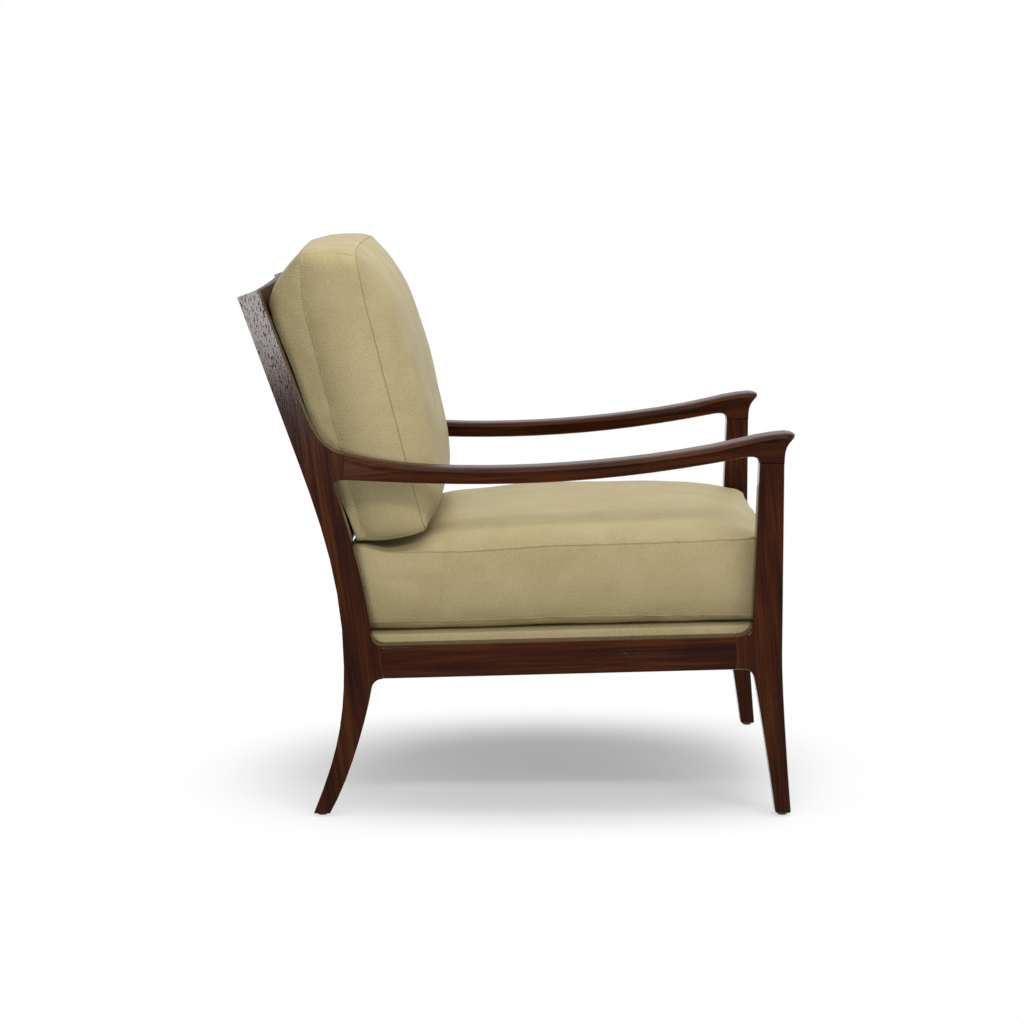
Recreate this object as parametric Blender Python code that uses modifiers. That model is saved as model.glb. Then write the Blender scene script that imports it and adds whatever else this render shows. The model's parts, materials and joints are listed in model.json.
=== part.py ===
"""A lounge chair: an open wooden frame with two loose leather cushions.

The chair stands on z = 0 and its front faces -Y. All lengths are in metres.
"Forward" is the distance towards the front, so forward = -y. A point of the side
profile is (forward, height). The seat frame's own axes tilt with SEAT_PITCH.
"""
import math

import bmesh
import bpy
from mathutils import Matrix, Vector
from mathutils.bvhtree import BVHTree
from mathutils.geometry import interpolate_bezier

# Fits
GAP = 0.0003
SOFT_GAP = 0.0006
COVER_ROOM = 0.0005

# Frame as a whole
FRAME_WIDTH = 0.740
FRAME_THICKNESS = 0.040
EDGE_ROUND = 0.003
GLIDE_HEIGHT = 0.005
GLIDE_RADIUS = 0.0077
GLIDE_EDGE = 0.0012
GLIDE_PIN_RADIUS = 0.0015
GLIDE_PIN_LENGTH = 0.014

# Seat frame
SEAT_RAIL_TOP = 0.2690
SEAT_PITCH = math.radians(1.5)
RAIL_DEPTH = 0.050
REAR_JOINT = -0.2056
FRONT_JOINT = 0.3310
CROSS_RAIL_THICKNESS = 0.025
CROSS_RAIL_INSET = 0.005

# Rear legs, from the floor to the top of the back posts
REAR_FOOT_BACK = -0.3108
REAR_FOOT_WIDTH = 0.0245
REAR_KNEE_BACK = -0.2645
REAR_KNEE_WIDTH = 0.0445
REAR_KNEE_DROP = 0.030
POST_BEND_BACK = Vector((-0.3441, 0.5832))
POST_LEAN = math.radians(19.75)
POST_LENGTH = 0.2216
POST_TOP_WIDTH = 0.032
SWOOP_RISE = 0.0625
SWOOP_WIDTH = 0.0341
REAR_TOP_FILLET = 0.016
REAR_UNDER_FILLET = 0.017

# Front legs
FRONT_FOOT_FRONT = 0.4174
FRONT_FOOT_WIDTH = 0.0240
FRONT_LEG_FRONT = 0.4014
FRONT_KNEE_WIDTH = 0.0461
FRONT_TOP_WIDTH = 0.0373
FRONT_LEG_TOP = 0.5417
FRONT_SPLAY_START = 0.250
FRONT_TOP_FILLET = 0.021
FRONT_UNDER_FILLET = 0.016

# Arms
ARM_JOINT = -0.2620
ARM_JOINT_TOP = 0.5555
ARM_JOINT_BOTTOM = 0.5174
ARM_MIDDLE_TOP = 0.5371
ARM_MIDDLE_BOTTOM = 0.5108
ARM_FRONT = 0.3592
ARM_FRONT_TOP = 0.5826
ARM_NECK = 0.3420
ARM_NECK_BOTTOM = 0.5510
ARM_TIP = 0.4172
ARM_TIP_TOP = 0.5879
ARM_TIP_THICKNESS = 0.0056
ARM_REAR_WIDTH = 0.0400
ARM_MIDDLE_WIDTH = 0.0520
ARM_FRONT_WIDTH = 0.0600
ARM_TOP_ROUND = 0.0070
ARM_UNDER_ROUND = 0.0050
ARM_FLARE_DEPTH = 0.0130
ARM_TIP_BOW = 0.016
ARM_TIP_FLAT = 0.30

# Back
BACK_RAIL_THICKNESS = 0.020
BACK_RAIL_SETBACK = 0.005
CREST_HEIGHT = 0.048
CREST_DIP = 0.0035
LOWER_RAIL_BELOW_BEND = 0.1654
LOWER_RAIL_HEIGHT = 0.042
SLAT_COUNT = 7
SLAT_WIDTH = 0.036
SLAT_THICKNESS = 0.012
SLAT_SETBACK = 0.003
SLAT_HOUSING = 0.010
SLAT_ROUND = 0.002

# Tenons, dowels and screws
TENON_LENGTH = 0.018
TENON_WIDTH = 0.032
TENON_THICKNESS = 0.009
SIDE_TENON_THICKNESS = 0.014
BACK_TENON_WIDTH = 0.026
DOWEL_RADIUS = 0.005
DOWEL_REACH = 0.016
FASTENER_SIDES = 8
SCREW_RADIUS = 0.002
SCREW_HEAD_RADIUS = 0.004
SCREW_HEAD_HEIGHT = 0.003
SCREW_BITE = 0.014
BLOCK_LEG = 0.080
BLOCK_HEIGHT = 0.022
BLOCK_SCREW_OFFSET = 0.055
BLOCK_SCREW_SINK = 0.008
DECK_SCREW_OFFSET = 0.022

# Seat deck
DECK_RISE = 0.0120
DECK_SKIRT = 0.012
DECK_EDGE_ROUND = 0.005
DECK_LEATHER = 0.0015
DECK_PAD_THICKNESS = 0.0110
STRAP_THICKNESS = 0.0025
STRAP_WIDTH = 0.050
STRAP_COUNT = 6
STRAP_INSET = 0.006
BATTEN_WIDTH = 0.045
BATTEN_HEIGHT = 0.020
DUST_COVER_THICKNESS = 0.0006
DUST_COVER_MARGIN = 0.004

# Seat cushion
SEAT_FRONT = 0.3910
SEAT_LENGTH = 0.6410
SEAT_SIDE_ROOM = 0.0050
SEAT_CORNER = 0.030
SEAT_BOX_HEIGHT = 0.1150
SEAT_UNDER_ROUND = 0.0137
SEAT_CROWN = 0.0434
SEAT_BULGE = 0.005
SEAT_SUNK_UNTIL = -0.210
SEAT_FULL_FROM = -0.090
SEAT_SUNK_SHARE = 0.15
SEAT_PRESSED_UNTIL = -0.090
SEAT_UNPRESSED_FROM = 0.040
SEAT_PRESS = 0.0055

# Back cushion
BACK_CUSHION_FOOT = Vector((-0.2320, 0.4089))
BACK_CUSHION_LEAN = math.radians(14.3)
BACK_SIDE_ROOM = 0.0090
BACK_CUSHION_HEIGHT = 0.4600
BACK_BOX_THICKNESS = 0.0925
BACK_CORNER = 0.022
BACK_FRONT_CROWN = 0.0590
BACK_REAR_CROWN = 0.0650
BACK_REAR_POWER = 12
BACK_BULGE = 0.005
BACK_TOP_BOW = 0.008
BACK_TOP_FLATNESS = 0.5
BACK_TOP_DROP = 0.0210
BACK_FOOT_DROP = 0.0076
BACK_TOP_NARROWING = 0.0197
BACK_TOP_SHIFT = 0.0055
BACK_NARROWING_START = 0.75
BACK_REST_INSET = 0.120
CROWN_DOME = 0.35
CROWN_POWER = 10
SEAT_REST_SOFTNESS = 0.008
RAIL_REST_SOFTNESS = 0.004

# Cushion covers and zips
COVER_THICKNESS = 0.0016
MITRE_LIMIT = 1.5
ZIP_LENGTH = 0.340
ZIP_BAND = 0.014
ZIP_SLIT = 0.009
ZIP_TAPE_WIDTH = 0.020
ZIP_TAPE_THICKNESS = 0.0012
ZIP_TAPE_OVERLAP = 0.010
ZIP_SLIDER_LENGTH = 0.010
ZIP_SLIDER_THICKNESS = 0.0015

# Where the parts of a pillow's panels lie, from the seam at 1 to the centre at 0
PANEL_RINGS = (0.985, 0.95, 0.88, 0.75, 0.50)
SIDE_STEPS = 6
CORNER_STEPS = 4

OUTER = FRAME_WIDTH / 2
INNER = OUTER - FRAME_THICKNESS
MID_THICKNESS = (OUTER + INNER) / 2
FOOT_BOTTOM = GLIDE_HEIGHT + GAP
SEAT_HALF_WIDTH = INNER - SEAT_BULGE - SEAT_SIDE_ROOM
BACK_HALF_WIDTH = MID_THICKNESS - ARM_MIDDLE_WIDTH / 2 - BACK_BULGE - BACK_SIDE_ROOM
SIDE_NAMES = {-1: "right", 1: "left"}

cuts = {}


def vector(x, y):
    return Vector((x, y))


def bezier(start, start_handle, end_handle, end, steps=7):
    return interpolate_bezier(start, start_handle, end_handle, end, steps + 1)


def joined(*runs):
    """One outline from several runs of points, without the repeated joints."""
    points = []
    for run in runs:
        for point in run:
            if not points or (point - points[-1]).length > 1e-5:
                points.append(point)
    return points


def fillet(corner, towards_start, towards_end, radius, steps=5):
    """Points of an arc that touches both edges of a corner."""
    a = towards_start.normalized()
    b = towards_end.normalized()
    half_angle = a.angle(b) / 2
    centre = corner + (a + b).normalized() * radius / math.sin(half_angle)
    reach = radius / math.tan(half_angle)
    first = (corner + a * reach - centre).normalized()
    last = (corner + b * reach - centre).normalized()
    return [centre + first.slerp(last, i / steps) * radius for i in range(steps + 1)]


def seat_point(forward, height):
    """A point of the tilted seat frame, as (forward, height) of the chair."""
    c, s = math.cos(SEAT_PITCH), math.sin(SEAT_PITCH)
    return vector(forward * c - height * s, SEAT_RAIL_TOP + forward * s + height * c)


def in_chair(x, point):
    """The chair's own coordinates of a side profile's point."""
    return Vector((x, -point.x, point.y))


# Scene, materials and objects


def start_scene():
    for old in list(bpy.data.objects):
        bpy.data.objects.remove(old)
    for name in ("lounge_chair", "cutters"):
        collection = bpy.data.collections.new(name)
        bpy.context.scene.collection.children.link(collection)
    bpy.data.collections["cutters"].hide_render = True


def make_material(name, colour, roughness, metallic=0.0):
    material = bpy.data.materials.new(name)
    material.use_nodes = True
    shader = material.node_tree.nodes["Principled BSDF"]
    shader.inputs["Base Color"].default_value = (*colour, 1.0)
    shader.inputs["Roughness"].default_value = roughness
    shader.inputs["Metallic"].default_value = metallic
    material.diffuse_color = (*colour, 1.0)
    return material


def make_materials():
    return {
        "wood": make_material("dark_wood", (0.045, 0.018, 0.008), 0.35),
        "pale_wood": make_material("pale_wood", (0.48, 0.33, 0.19), 0.6),
        "leather": make_material("leather", (0.45, 0.40, 0.25), 0.45),
        "foam": make_material("foam", (0.85, 0.82, 0.70), 0.9),
        "webbing": make_material("webbing", (0.10, 0.09, 0.08), 0.85),
        "cambric": make_material("cambric", (0.02, 0.02, 0.02), 0.9),
        "steel": make_material("screw_steel", (0.55, 0.54, 0.50), 0.35, 1.0),
        "brass": make_material("zip_brass", (0.45, 0.33, 0.12), 0.35, 1.0),
        "glide": make_material("glide_plastic", (0.03, 0.025, 0.02), 0.5),
    }


def add_object(name, mesh, material, parent=None, matrix=None, collection="lounge_chair"):
    item = bpy.data.objects.new(name, mesh)
    bpy.data.collections[collection].objects.link(item)
    if material is not None:
        mesh.materials.clear()
        mesh.materials.append(material)
    item.parent = parent
    if matrix is not None:
        item.matrix_basis = matrix
    return item


def add_empty(name, location, rotation):
    empty = bpy.data.objects.new(name, None)
    bpy.data.collections["lounge_chair"].objects.link(empty)
    empty.location = location
    empty.rotation_euler = rotation
    return empty


def mesh_from(bm, name):
    bmesh.ops.recalc_face_normals(bm, faces=bm.faces)
    mesh = bpy.data.meshes.new(name)
    bm.to_mesh(mesh)
    bm.free()
    return mesh


# Building blocks: plates, bars and turned pieces


def round_edges(item, width, is_sharp, segments=2):
    """Rounds the edges where faces meet steeply, but not those that is_sharp names."""
    mesh = item.data
    bm = bmesh.new()
    bm.from_mesh(mesh)
    layer = bm.edges.layers.float.new("bevel_weight_edge")
    for edge in bm.edges:
        steep = edge.calc_face_angle(0.0) > math.radians(50)
        if steep and not is_sharp(edge.verts[0].co, edge.verts[1].co):
            edge[layer] = 1.0
    bm.to_mesh(mesh)
    bm.free()
    bevel = item.modifiers.new("rounded_edges", "BEVEL")
    bevel.limit_method = "WEIGHT"
    bevel.width = width
    bevel.segments = segments


def plate_mesh(name, outline, thickness):
    """A flat outline with its thickness along local Z, as a closed mesh."""
    curve = bpy.data.curves.new(name, "CURVE")
    curve.dimensions = "2D"
    curve.fill_mode = "BOTH"
    curve.extrude = thickness / 2
    spline = curve.splines.new("POLY")
    spline.points.add(len(outline) - 1)
    for place, point in zip(spline.points, outline):
        place.co = (point.x, point.y, 0.0, 1.0)
    spline.use_cyclic_u = True
    source = bpy.data.objects.new(name, curve)
    bpy.data.collections["lounge_chair"].objects.link(source)
    evaluated = source.evaluated_get(bpy.context.evaluated_depsgraph_get())
    mesh = bpy.data.meshes.new_from_object(evaluated)
    bpy.data.objects.remove(source)
    bm = bmesh.new()
    bm.from_mesh(mesh)
    bpy.data.meshes.remove(mesh)
    bmesh.ops.remove_doubles(bm, verts=bm.verts, dist=1e-6)
    for side in (-1, 1):
        cap = [f for f in bm.faces if f.normal.z * side > 0.99]
        bmesh.ops.dissolve_faces(bm, faces=cap)
    return mesh_from(bm, name)


def on_segment(point, segment):
    start, end = segment
    flat = vector(point.x, point.y)
    along = end - start
    share = max(0.0, min(1.0, (flat - start).dot(along) / along.length_squared))
    return (start + along * share - flat).length < 1e-5


def side_plate(name, outline, x_middle, material, joints):
    """A piece cut from a board in the side profile. Its joint faces keep sharp edges."""
    mesh = plate_mesh(name, outline, FRAME_THICKNESS)
    upright = Matrix.Rotation(-math.pi / 2, 4, "Z") @ Matrix.Rotation(math.pi / 2, 4, "X")
    place = Matrix.Translation((x_middle, 0.0, 0.0)) @ upright
    item = add_object(name, mesh, material, matrix=place)

    def is_joint(a, b):
        return any(on_segment(a, joint) and on_segment(b, joint) for joint in joints)

    round_edges(item, EDGE_ROUND, is_joint)
    return item


def box_mesh(name, size):
    bm = bmesh.new()
    bmesh.ops.create_cube(bm, size=1.0)
    bmesh.ops.scale(bm, vec=size, verts=bm.verts)
    return mesh_from(bm, name)


def bar(name, low, high, material, parent, rounding=0.0, along=0):
    """A box between two corners in the parent's axes. Edges parallel to one axis are rounded."""
    low, high = Vector(low), Vector(high)
    mesh = box_mesh(name, high - low)
    item = add_object(name, mesh, material, parent, Matrix.Translation((low + high) / 2))
    if rounding:

        def crosses(a, b):
            return abs((b - a).normalized()[along]) < 0.9

        round_edges(item, rounding, crosses)
    return item


def turned_mesh(profile, sides=FASTENER_SIDES):
    """A solid turned about Z from (radius, height) points that start and end on the axis."""
    bm = bmesh.new()
    points = [bm.verts.new((radius, 0.0, height)) for radius, height in profile]
    edges = [bm.edges.new(pair) for pair in zip(points, points[1:])]
    bmesh.ops.spin(
        bm,
        geom=points + edges,
        cent=(0, 0, 0),
        axis=(0, 0, 1),
        angle=math.tau,
        steps=sides,
        use_merge=True,
    )
    bmesh.ops.remove_doubles(bm, verts=bm.verts, dist=1e-6)
    return mesh_from(bm, "turned")


def rod(radius, low, high):
    return [(0.0, low), (radius, low), (radius, high), (0.0, high)]


def pointing(centre, direction):
    """Places a turned piece with its own Z along a direction of the chair."""
    return Matrix.Translation(centre) @ direction.to_track_quat("Z", "Y").to_matrix().to_4x4()


# Holes: the cutters of each piece are collected, joined and taken out of it at the end


def cut(item, mesh, place):
    mesh.transform(place)
    cuts.setdefault(item.name, []).append(mesh)


def cut_box(item, place, low, high):
    low, high = Vector(low), Vector(high)
    middle = Matrix.Translation((low + high) / 2)
    cut(item, box_mesh("cutter", high - low), place @ middle)


def make_cuts():
    for name, meshes in cuts.items():
        bm = bmesh.new()
        for mesh in meshes:
            bm.from_mesh(mesh)
            bpy.data.meshes.remove(mesh)
        cutter = add_object(f"{name}_cutter", mesh_from(bm, name), None, collection="cutters")
        cutter.hide_render = True
        cutter.display_type = "WIRE"
        boolean = bpy.data.objects[name].modifiers.new("holes", "BOOLEAN")
        boolean.operation = "DIFFERENCE"
        boolean.solver = "EXACT"
        boolean.object = cutter


def dowel(name, pieces, centre, direction, material):
    """A dowel across a joint at centre, with a blind bore in both pieces."""
    place = pointing(centre, direction)
    reach = DOWEL_REACH
    add_object(name, turned_mesh(rod(DOWEL_RADIUS, -reach, reach)), material, matrix=place)
    for piece in pieces:
        cut(piece, turned_mesh(rod(DOWEL_RADIUS + GAP, -reach - GAP, reach + GAP)), place)


def screw(name, pieces, seat, direction, length, material, sink=0.0):
    """A screw whose head rests at seat. Its bore and the head's sink go through the pieces."""
    place = pointing(seat, direction)
    head, shank = SCREW_HEAD_RADIUS, SCREW_RADIUS
    profile = [(0.0, -SCREW_HEAD_HEIGHT), (head, -SCREW_HEAD_HEIGHT), (head, -GAP)]
    profile += [(shank, -GAP), (shank, length), (0.0, length)]
    add_object(name, turned_mesh(profile), material, matrix=place)
    bore = rod(shank + GAP, -SCREW_HEAD_HEIGHT, length + GAP)
    if sink:
        recess = [(0.0, -sink), (head + GAP, -sink), (head + GAP, 0.0), (shank + GAP, 0.0)]
        cut(pieces[0], turned_mesh(recess + bore[2:]), place)
    else:
        cut(pieces[0], turned_mesh(bore), place)
    cut(pieces[1], turned_mesh(bore), place)


def extruded(bm, face):
    """The new end face that comes from extruding a face of a solid."""
    grown = bmesh.ops.extrude_face_region(bm, geom=[face])["geom"]
    bmesh.ops.delete(bm, geom=[face], context="FACES_ONLY")
    return next(item for item in grown if isinstance(item, bmesh.types.BMFace))


def add_tenons(item, axis, size, legs):
    """Tenons on both ends of a rail, and their mortises in the legs at its low and high end.

    The size is the tenon's section in the item's own axes, with 0 along the rail.
    """
    size = Vector(size)
    others = [i for i in range(3) if i != axis]
    place = item.parent.matrix_world @ item.matrix_basis
    bm = bmesh.new()
    bm.from_mesh(item.data)
    for leg, end in zip(legs, (-1, 1)):
        face = max(bm.faces, key=lambda f: f.calc_center_median()[axis] * end)
        centre = face.calc_center_median()
        shoulder = extruded(bm, face)
        for vertex in shoulder.verts:
            for i in others:
                half = math.copysign(size[i] / 2, vertex.co[i] - centre[i])
                vertex.co[i] = centre[i] + half
        tip = extruded(bm, shoulder)
        for vertex in tip.verts:
            vertex.co[axis] += end * TENON_LENGTH
        low = centre - size / 2 - Vector((GAP, GAP, GAP))
        high = centre + size / 2 + Vector((GAP, GAP, GAP))
        bottom = centre[axis] + end * (TENON_LENGTH + GAP)
        low[axis], high[axis] = sorted((centre[axis], bottom))
        cut_box(leg, place, low, high)
    bm.to_mesh(item.data)
    bm.free()


# Side profiles


def rear_leg_outline():
    """Outline of a rear leg and the two joint faces: on the side rail and on the arm."""
    heel = vector(REAR_FOOT_BACK, FOOT_BOTTOM)
    toe = vector(REAR_FOOT_BACK + REAR_FOOT_WIDTH, FOOT_BOTTOM)
    knee_back = seat_point(REAR_KNEE_BACK, -REAR_KNEE_DROP)
    post_up = vector(-math.sin(POST_LEAN), math.cos(POST_LEAN))
    post_front = vector(post_up.y, -post_up.x)
    top_back = POST_BEND_BACK + post_up * POST_LENGTH
    top_front = top_back + post_front * POST_TOP_WIDTH
    swoop = POST_BEND_BACK + post_up * SWOOP_RISE + post_front * SWOOP_WIDTH
    arm_top = vector(ARM_JOINT, ARM_JOINT_TOP)
    arm_bottom = vector(ARM_JOINT, ARM_JOINT_BOTTOM)
    opening = arm_bottom + vector(-0.0157, -0.0089)
    rail_top = seat_point(REAR_JOINT, 0.0)
    rail_bottom = seat_point(REAR_JOINT, -RAIL_DEPTH)
    rail_forward = seat_point(1.0, 0.0) - seat_point(0.0, 0.0)
    knee_front = REAR_KNEE_BACK + REAR_KNEE_WIDTH
    upper = fillet(
        seat_point(knee_front, 0.0), vector(-0.1, 1.0), rail_forward, REAR_TOP_FILLET
    )
    under = fillet(
        seat_point(knee_front, -RAIL_DEPTH), rail_forward, vector(-0.22, -1.0), REAR_UNDER_FILLET
    )
    outline = joined(
        bezier(heel, heel + vector(0.038, 0.093), knee_back - vector(0, 0.080), knee_back),
        bezier(knee_back, knee_back + vector(0, 0.140), POST_BEND_BACK - post_up * 0.107,
               POST_BEND_BACK),
        [top_back, top_front],
        bezier(swoop, swoop - post_up * 0.055, arm_top + vector(-0.040, 0.008), arm_top),
        bezier(arm_bottom, arm_bottom - vector(0.009, 0), opening + post_up * 0.006, opening, 4),
        bezier(opening, opening - post_up * 0.072, upper[0] + vector(-0.007, 0.069), upper[0]),
        upper,
        [rail_top, rail_bottom],
        under,
        bezier(under[-1], under[-1] - vector(0.008, 0.050), toe + vector(0.029, 0.050), toe),
    )
    return outline, [(arm_top, arm_bottom), (rail_top, rail_bottom)]


def front_leg_outline():
    """Outline of a front leg and the two joint faces: on the side rail and under the arm."""
    toe = vector(FRONT_FOOT_FRONT, FOOT_BOTTOM)
    heel = vector(FRONT_FOOT_FRONT - FRONT_FOOT_WIDTH, FOOT_BOTTOM)
    top_front = vector(FRONT_LEG_FRONT, FRONT_LEG_TOP)
    top_back = vector(FRONT_LEG_FRONT - FRONT_TOP_WIDTH, FRONT_LEG_TOP)
    splay = vector(FRONT_LEG_FRONT, FRONT_SPLAY_START)
    knee_back = FRONT_LEG_FRONT - FRONT_KNEE_WIDTH
    rail_top = seat_point(FRONT_JOINT, 0.0)
    rail_bottom = seat_point(FRONT_JOINT, -RAIL_DEPTH)
    rail_back = seat_point(0.0, 0.0) - seat_point(1.0, 0.0)
    corner = seat_point(knee_back, 0.0)
    upper = fillet(corner, top_back - corner, rail_back, FRONT_TOP_FILLET)
    under = fillet(
        seat_point(knee_back, -RAIL_DEPTH), rail_back, vector(0.2, -1.0), FRONT_UNDER_FILLET
    )
    outline = joined(
        bezier(toe, toe + vector(-0.0045, 0.050), splay - vector(0, 0.050), splay),
        [top_front, top_back],
        upper,
        [rail_top, rail_bottom],
        under,
        bezier(under[-1], under[-1] + vector(0.011, -0.054), heel + vector(-0.008, 0.060), heel),
    )
    return outline, [(top_back, top_front), (rail_top, rail_bottom)]


def make_legs(materials):
    legs = {}
    for kind, shape in (("rear", rear_leg_outline), ("front", front_leg_outline)):
        for side, side_name in SIDE_NAMES.items():
            outline, joints = shape()
            name = f"{side_name}_{kind}_leg"
            legs[kind, side] = side_plate(
                name, outline, side * MID_THICKNESS, materials["wood"], joints
            )
    return legs


# Arms


def height_on(line, forward):
    """Height of a side profile line, whose points run forwards, at one place."""
    for a, b in zip(line, line[1:]):
        if a.x <= forward <= b.x:
            return a.y + (b.y - a.y) * (forward - a.x) / max(b.x - a.x, 1e-9)
    return line[-1].y if forward > line[-1].x else line[0].y


def arm_top_line():
    start = vector(ARM_JOINT, ARM_JOINT_TOP)
    front = vector(ARM_FRONT, ARM_FRONT_TOP)
    sag = ARM_MIDDLE_TOP
    return bezier(start, vector(-0.119, sag - 0.020), vector(0.200, sag + 0.003), front, 16) + [
        vector(ARM_TIP - 0.032, ARM_TIP_TOP - 0.0008),
        vector(ARM_TIP - 0.015, ARM_TIP_TOP + 0.0008),
        vector(ARM_TIP - 0.006, ARM_TIP_TOP),
        vector(ARM_TIP - 0.002, ARM_TIP_TOP - 0.0012),
        vector(ARM_TIP, ARM_TIP_TOP - 0.0026),
    ]


def arm_under_line():
    """Underside of an arm: from the rear joint, down round the front leg's top, up to the tip."""
    start = vector(ARM_JOINT + GAP, ARM_JOINT_BOTTOM)
    neck = vector(ARM_NECK, ARM_NECK_BOTTOM)
    sag = ARM_MIDDLE_BOTTOM
    seat = FRONT_LEG_TOP + GAP
    leg_back = vector(FRONT_LEG_FRONT - FRONT_TOP_WIDTH, seat)
    leg_front = vector(FRONT_LEG_FRONT, seat)
    tip = vector(ARM_TIP, ARM_TIP_TOP - ARM_TIP_THICKNESS)
    under_tip = tip - vector(0.0016, 0.0018)
    run = bezier(start, vector(-0.052, sag - 0.006), vector(0.113, sag - 0.0045), neck, 14)
    round_corner = bezier(neck, neck + vector(0.013, 0.0022), leg_back + vector(-0.0004, 0.010),
                          leg_back, 5)
    flare = bezier(leg_front, leg_front + vector(0.0002, 0.020), under_tip - vector(0.0100, 0.0090),
                   under_tip, 9)
    return joined(run, round_corner, [(leg_back + leg_front) / 2], flare, [tip])


def arm_section(forward, top, bottom):
    """Cross-section of the left arm, as (x, height) points in a loop.

    Its lower part is as wide as the legs, and both sides flare out to the wider top.
    """
    widening = max(0.0, min(1.0, (forward - ARM_JOINT) / -ARM_JOINT))
    front_share = max(0.0, min(1.0, forward / FRONT_JOINT))
    width = ARM_REAR_WIDTH + (ARM_MIDDLE_WIDTH - ARM_REAR_WIDTH) * math.sin(widening * math.pi / 2)
    width += (ARM_FRONT_WIDTH - ARM_MIDDLE_WIDTH) * front_share
    into_tip = max(0.0, min(1.0, 1 - (ARM_TIP - forward) / ARM_TIP_BOW))
    half = width / 2 * (ARM_TIP_FLAT + (1 - ARM_TIP_FLAT) * math.sqrt(1 - into_tip**2))
    neck = min(FRAME_THICKNESS / 2, half)
    early = min(1.0, widening * 4)
    hang = max(0.0, min(1.0, (top - bottom - 0.030) / 0.010))
    room = (top - bottom) * 0.45
    rounding = min(EDGE_ROUND + (ARM_TOP_ROUND - EDGE_ROUND) * early, room)
    under = min(EDGE_ROUND + (ARM_UNDER_ROUND - EDGE_ROUND) * early * (1 - hang), room)
    lip = top - rounding

    def half_at(height):
        share = max(0.0, 1 - (lip - height) / ARM_FLARE_DEPTH)
        return neck + (half - neck) * share**2

    start = max(bottom + under, lip - ARM_FLARE_DEPTH)
    low = half_at(bottom + under)
    side = []
    for angle in (0.0, math.pi / 4, math.pi / 2):
        reach = low - under * (1 - math.sin(angle))
        side.append((reach, bottom + under * (1 - math.cos(angle))))
    for share in (0.30, 0.55, 0.80):
        height = start + (lip - start) * share
        side.append((half_at(height), height))
    for angle in (0.0, math.pi / 4, math.pi / 2):
        reach = half - rounding * (1 - math.cos(angle))
        side.append((reach, lip + rounding * math.sin(angle)))
    outer = [Vector((MID_THICKNESS + x, z)) for x, z in side]
    inner = [Vector((MID_THICKNESS - x, z)) for x, z in reversed(side)]
    return outer + inner


def make_arms(materials):
    """Arms lofted along their length between sections that change in width and depth."""
    arms = {}
    top_line = arm_top_line()
    stations = arm_under_line()
    for side, side_name in SIDE_NAMES.items():
        bm = bmesh.new()
        loops = []
        previous = None
        for point in stations:
            forward = point.x if previous is None else max(point.x, previous + 0.0002)
            previous = forward
            section = arm_section(forward, height_on(top_line, forward), point.y)
            loops.append([bm.verts.new((side * p.x, -forward, p.y)) for p in section])
        count = len(loops[0])
        for near, far in zip(loops, loops[1:]):
            for i in range(count):
                j = (i + 1) % count
                bm.faces.new((near[i], near[j], far[j], far[i]))
        bm.faces.new(loops[0])
        bm.faces.new(loops[-1])
        name = f"{side_name}_arm"
        arms[side] = add_object(name, mesh_from(bm, name), materials["wood"])
    return arms


def join_arms(arms, legs, materials):
    joints = {
        "rear": (vector(ARM_JOINT, (ARM_JOINT_BOTTOM + ARM_JOINT_TOP) / 2), Vector((0, -1, 0))),
        "front": (vector(FRONT_LEG_FRONT - FRONT_TOP_WIDTH / 2, FRONT_LEG_TOP), Vector((0, 0, 1))),
    }
    for side, side_name in SIDE_NAMES.items():
        for kind, (point, direction) in joints.items():
            centre = in_chair(side * MID_THICKNESS, point)
            dowel(f"{side_name}_arm_{kind}_dowel", (arms[side], legs[kind, side]), centre,
                  direction, materials["pale_wood"])


# Seat frame, in the axes of its tilted empty: X, backward Y, up Z from the rails' top


def rear_rail_front():
    return REAR_KNEE_BACK + CROSS_RAIL_INSET + CROSS_RAIL_THICKNESS


def front_rail_back():
    return FRONT_LEG_FRONT - CROSS_RAIL_INSET - CROSS_RAIL_THICKNESS


def make_seat_rails(seat, legs, materials):
    """The four seat rails, tenoned into the legs."""
    wood = materials["wood"]
    rails = {}
    for side, side_name in SIDE_NAMES.items():
        low_x, high_x = sorted((side * INNER, side * OUTER))
        low = Vector((low_x, -FRONT_JOINT + GAP, -RAIL_DEPTH))
        high = Vector((high_x, -REAR_JOINT - GAP, 0.0))
        rail = bar(f"{side_name}_side_rail", low, high, wood, seat, EDGE_ROUND, along=1)
        ends = (legs["front", side], legs["rear", side])
        add_tenons(rail, 1, (SIDE_TENON_THICKNESS, 0, TENON_WIDTH), ends)
        rails[side] = rail
    reach = INNER - GAP
    for kind, back in (("front", front_rail_back()),
                       ("rear", rear_rail_front() - CROSS_RAIL_THICKNESS)):
        low = Vector((-reach, -back - CROSS_RAIL_THICKNESS, -RAIL_DEPTH))
        high = Vector((reach, -back, 0.0))
        rail = bar(f"{kind}_rail", low, high, wood, seat, EDGE_ROUND, along=0)
        ends = (legs[kind, -1], legs[kind, 1])
        add_tenons(rail, 0, (0, TENON_THICKNESS, TENON_WIDTH), ends)
        rails[kind] = rail
    return rails


def deck_levels():
    """Heights of the deck's layers above the rails' top, from the leather down."""
    pad_top = DECK_RISE - DECK_LEATHER - GAP
    strap_top = pad_top - DECK_PAD_THICKNESS - GAP
    batten_top = strap_top - STRAP_THICKNESS - GAP
    batten_bottom = batten_top - BATTEN_HEIGHT
    return pad_top, strap_top, batten_top, batten_bottom


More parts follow.
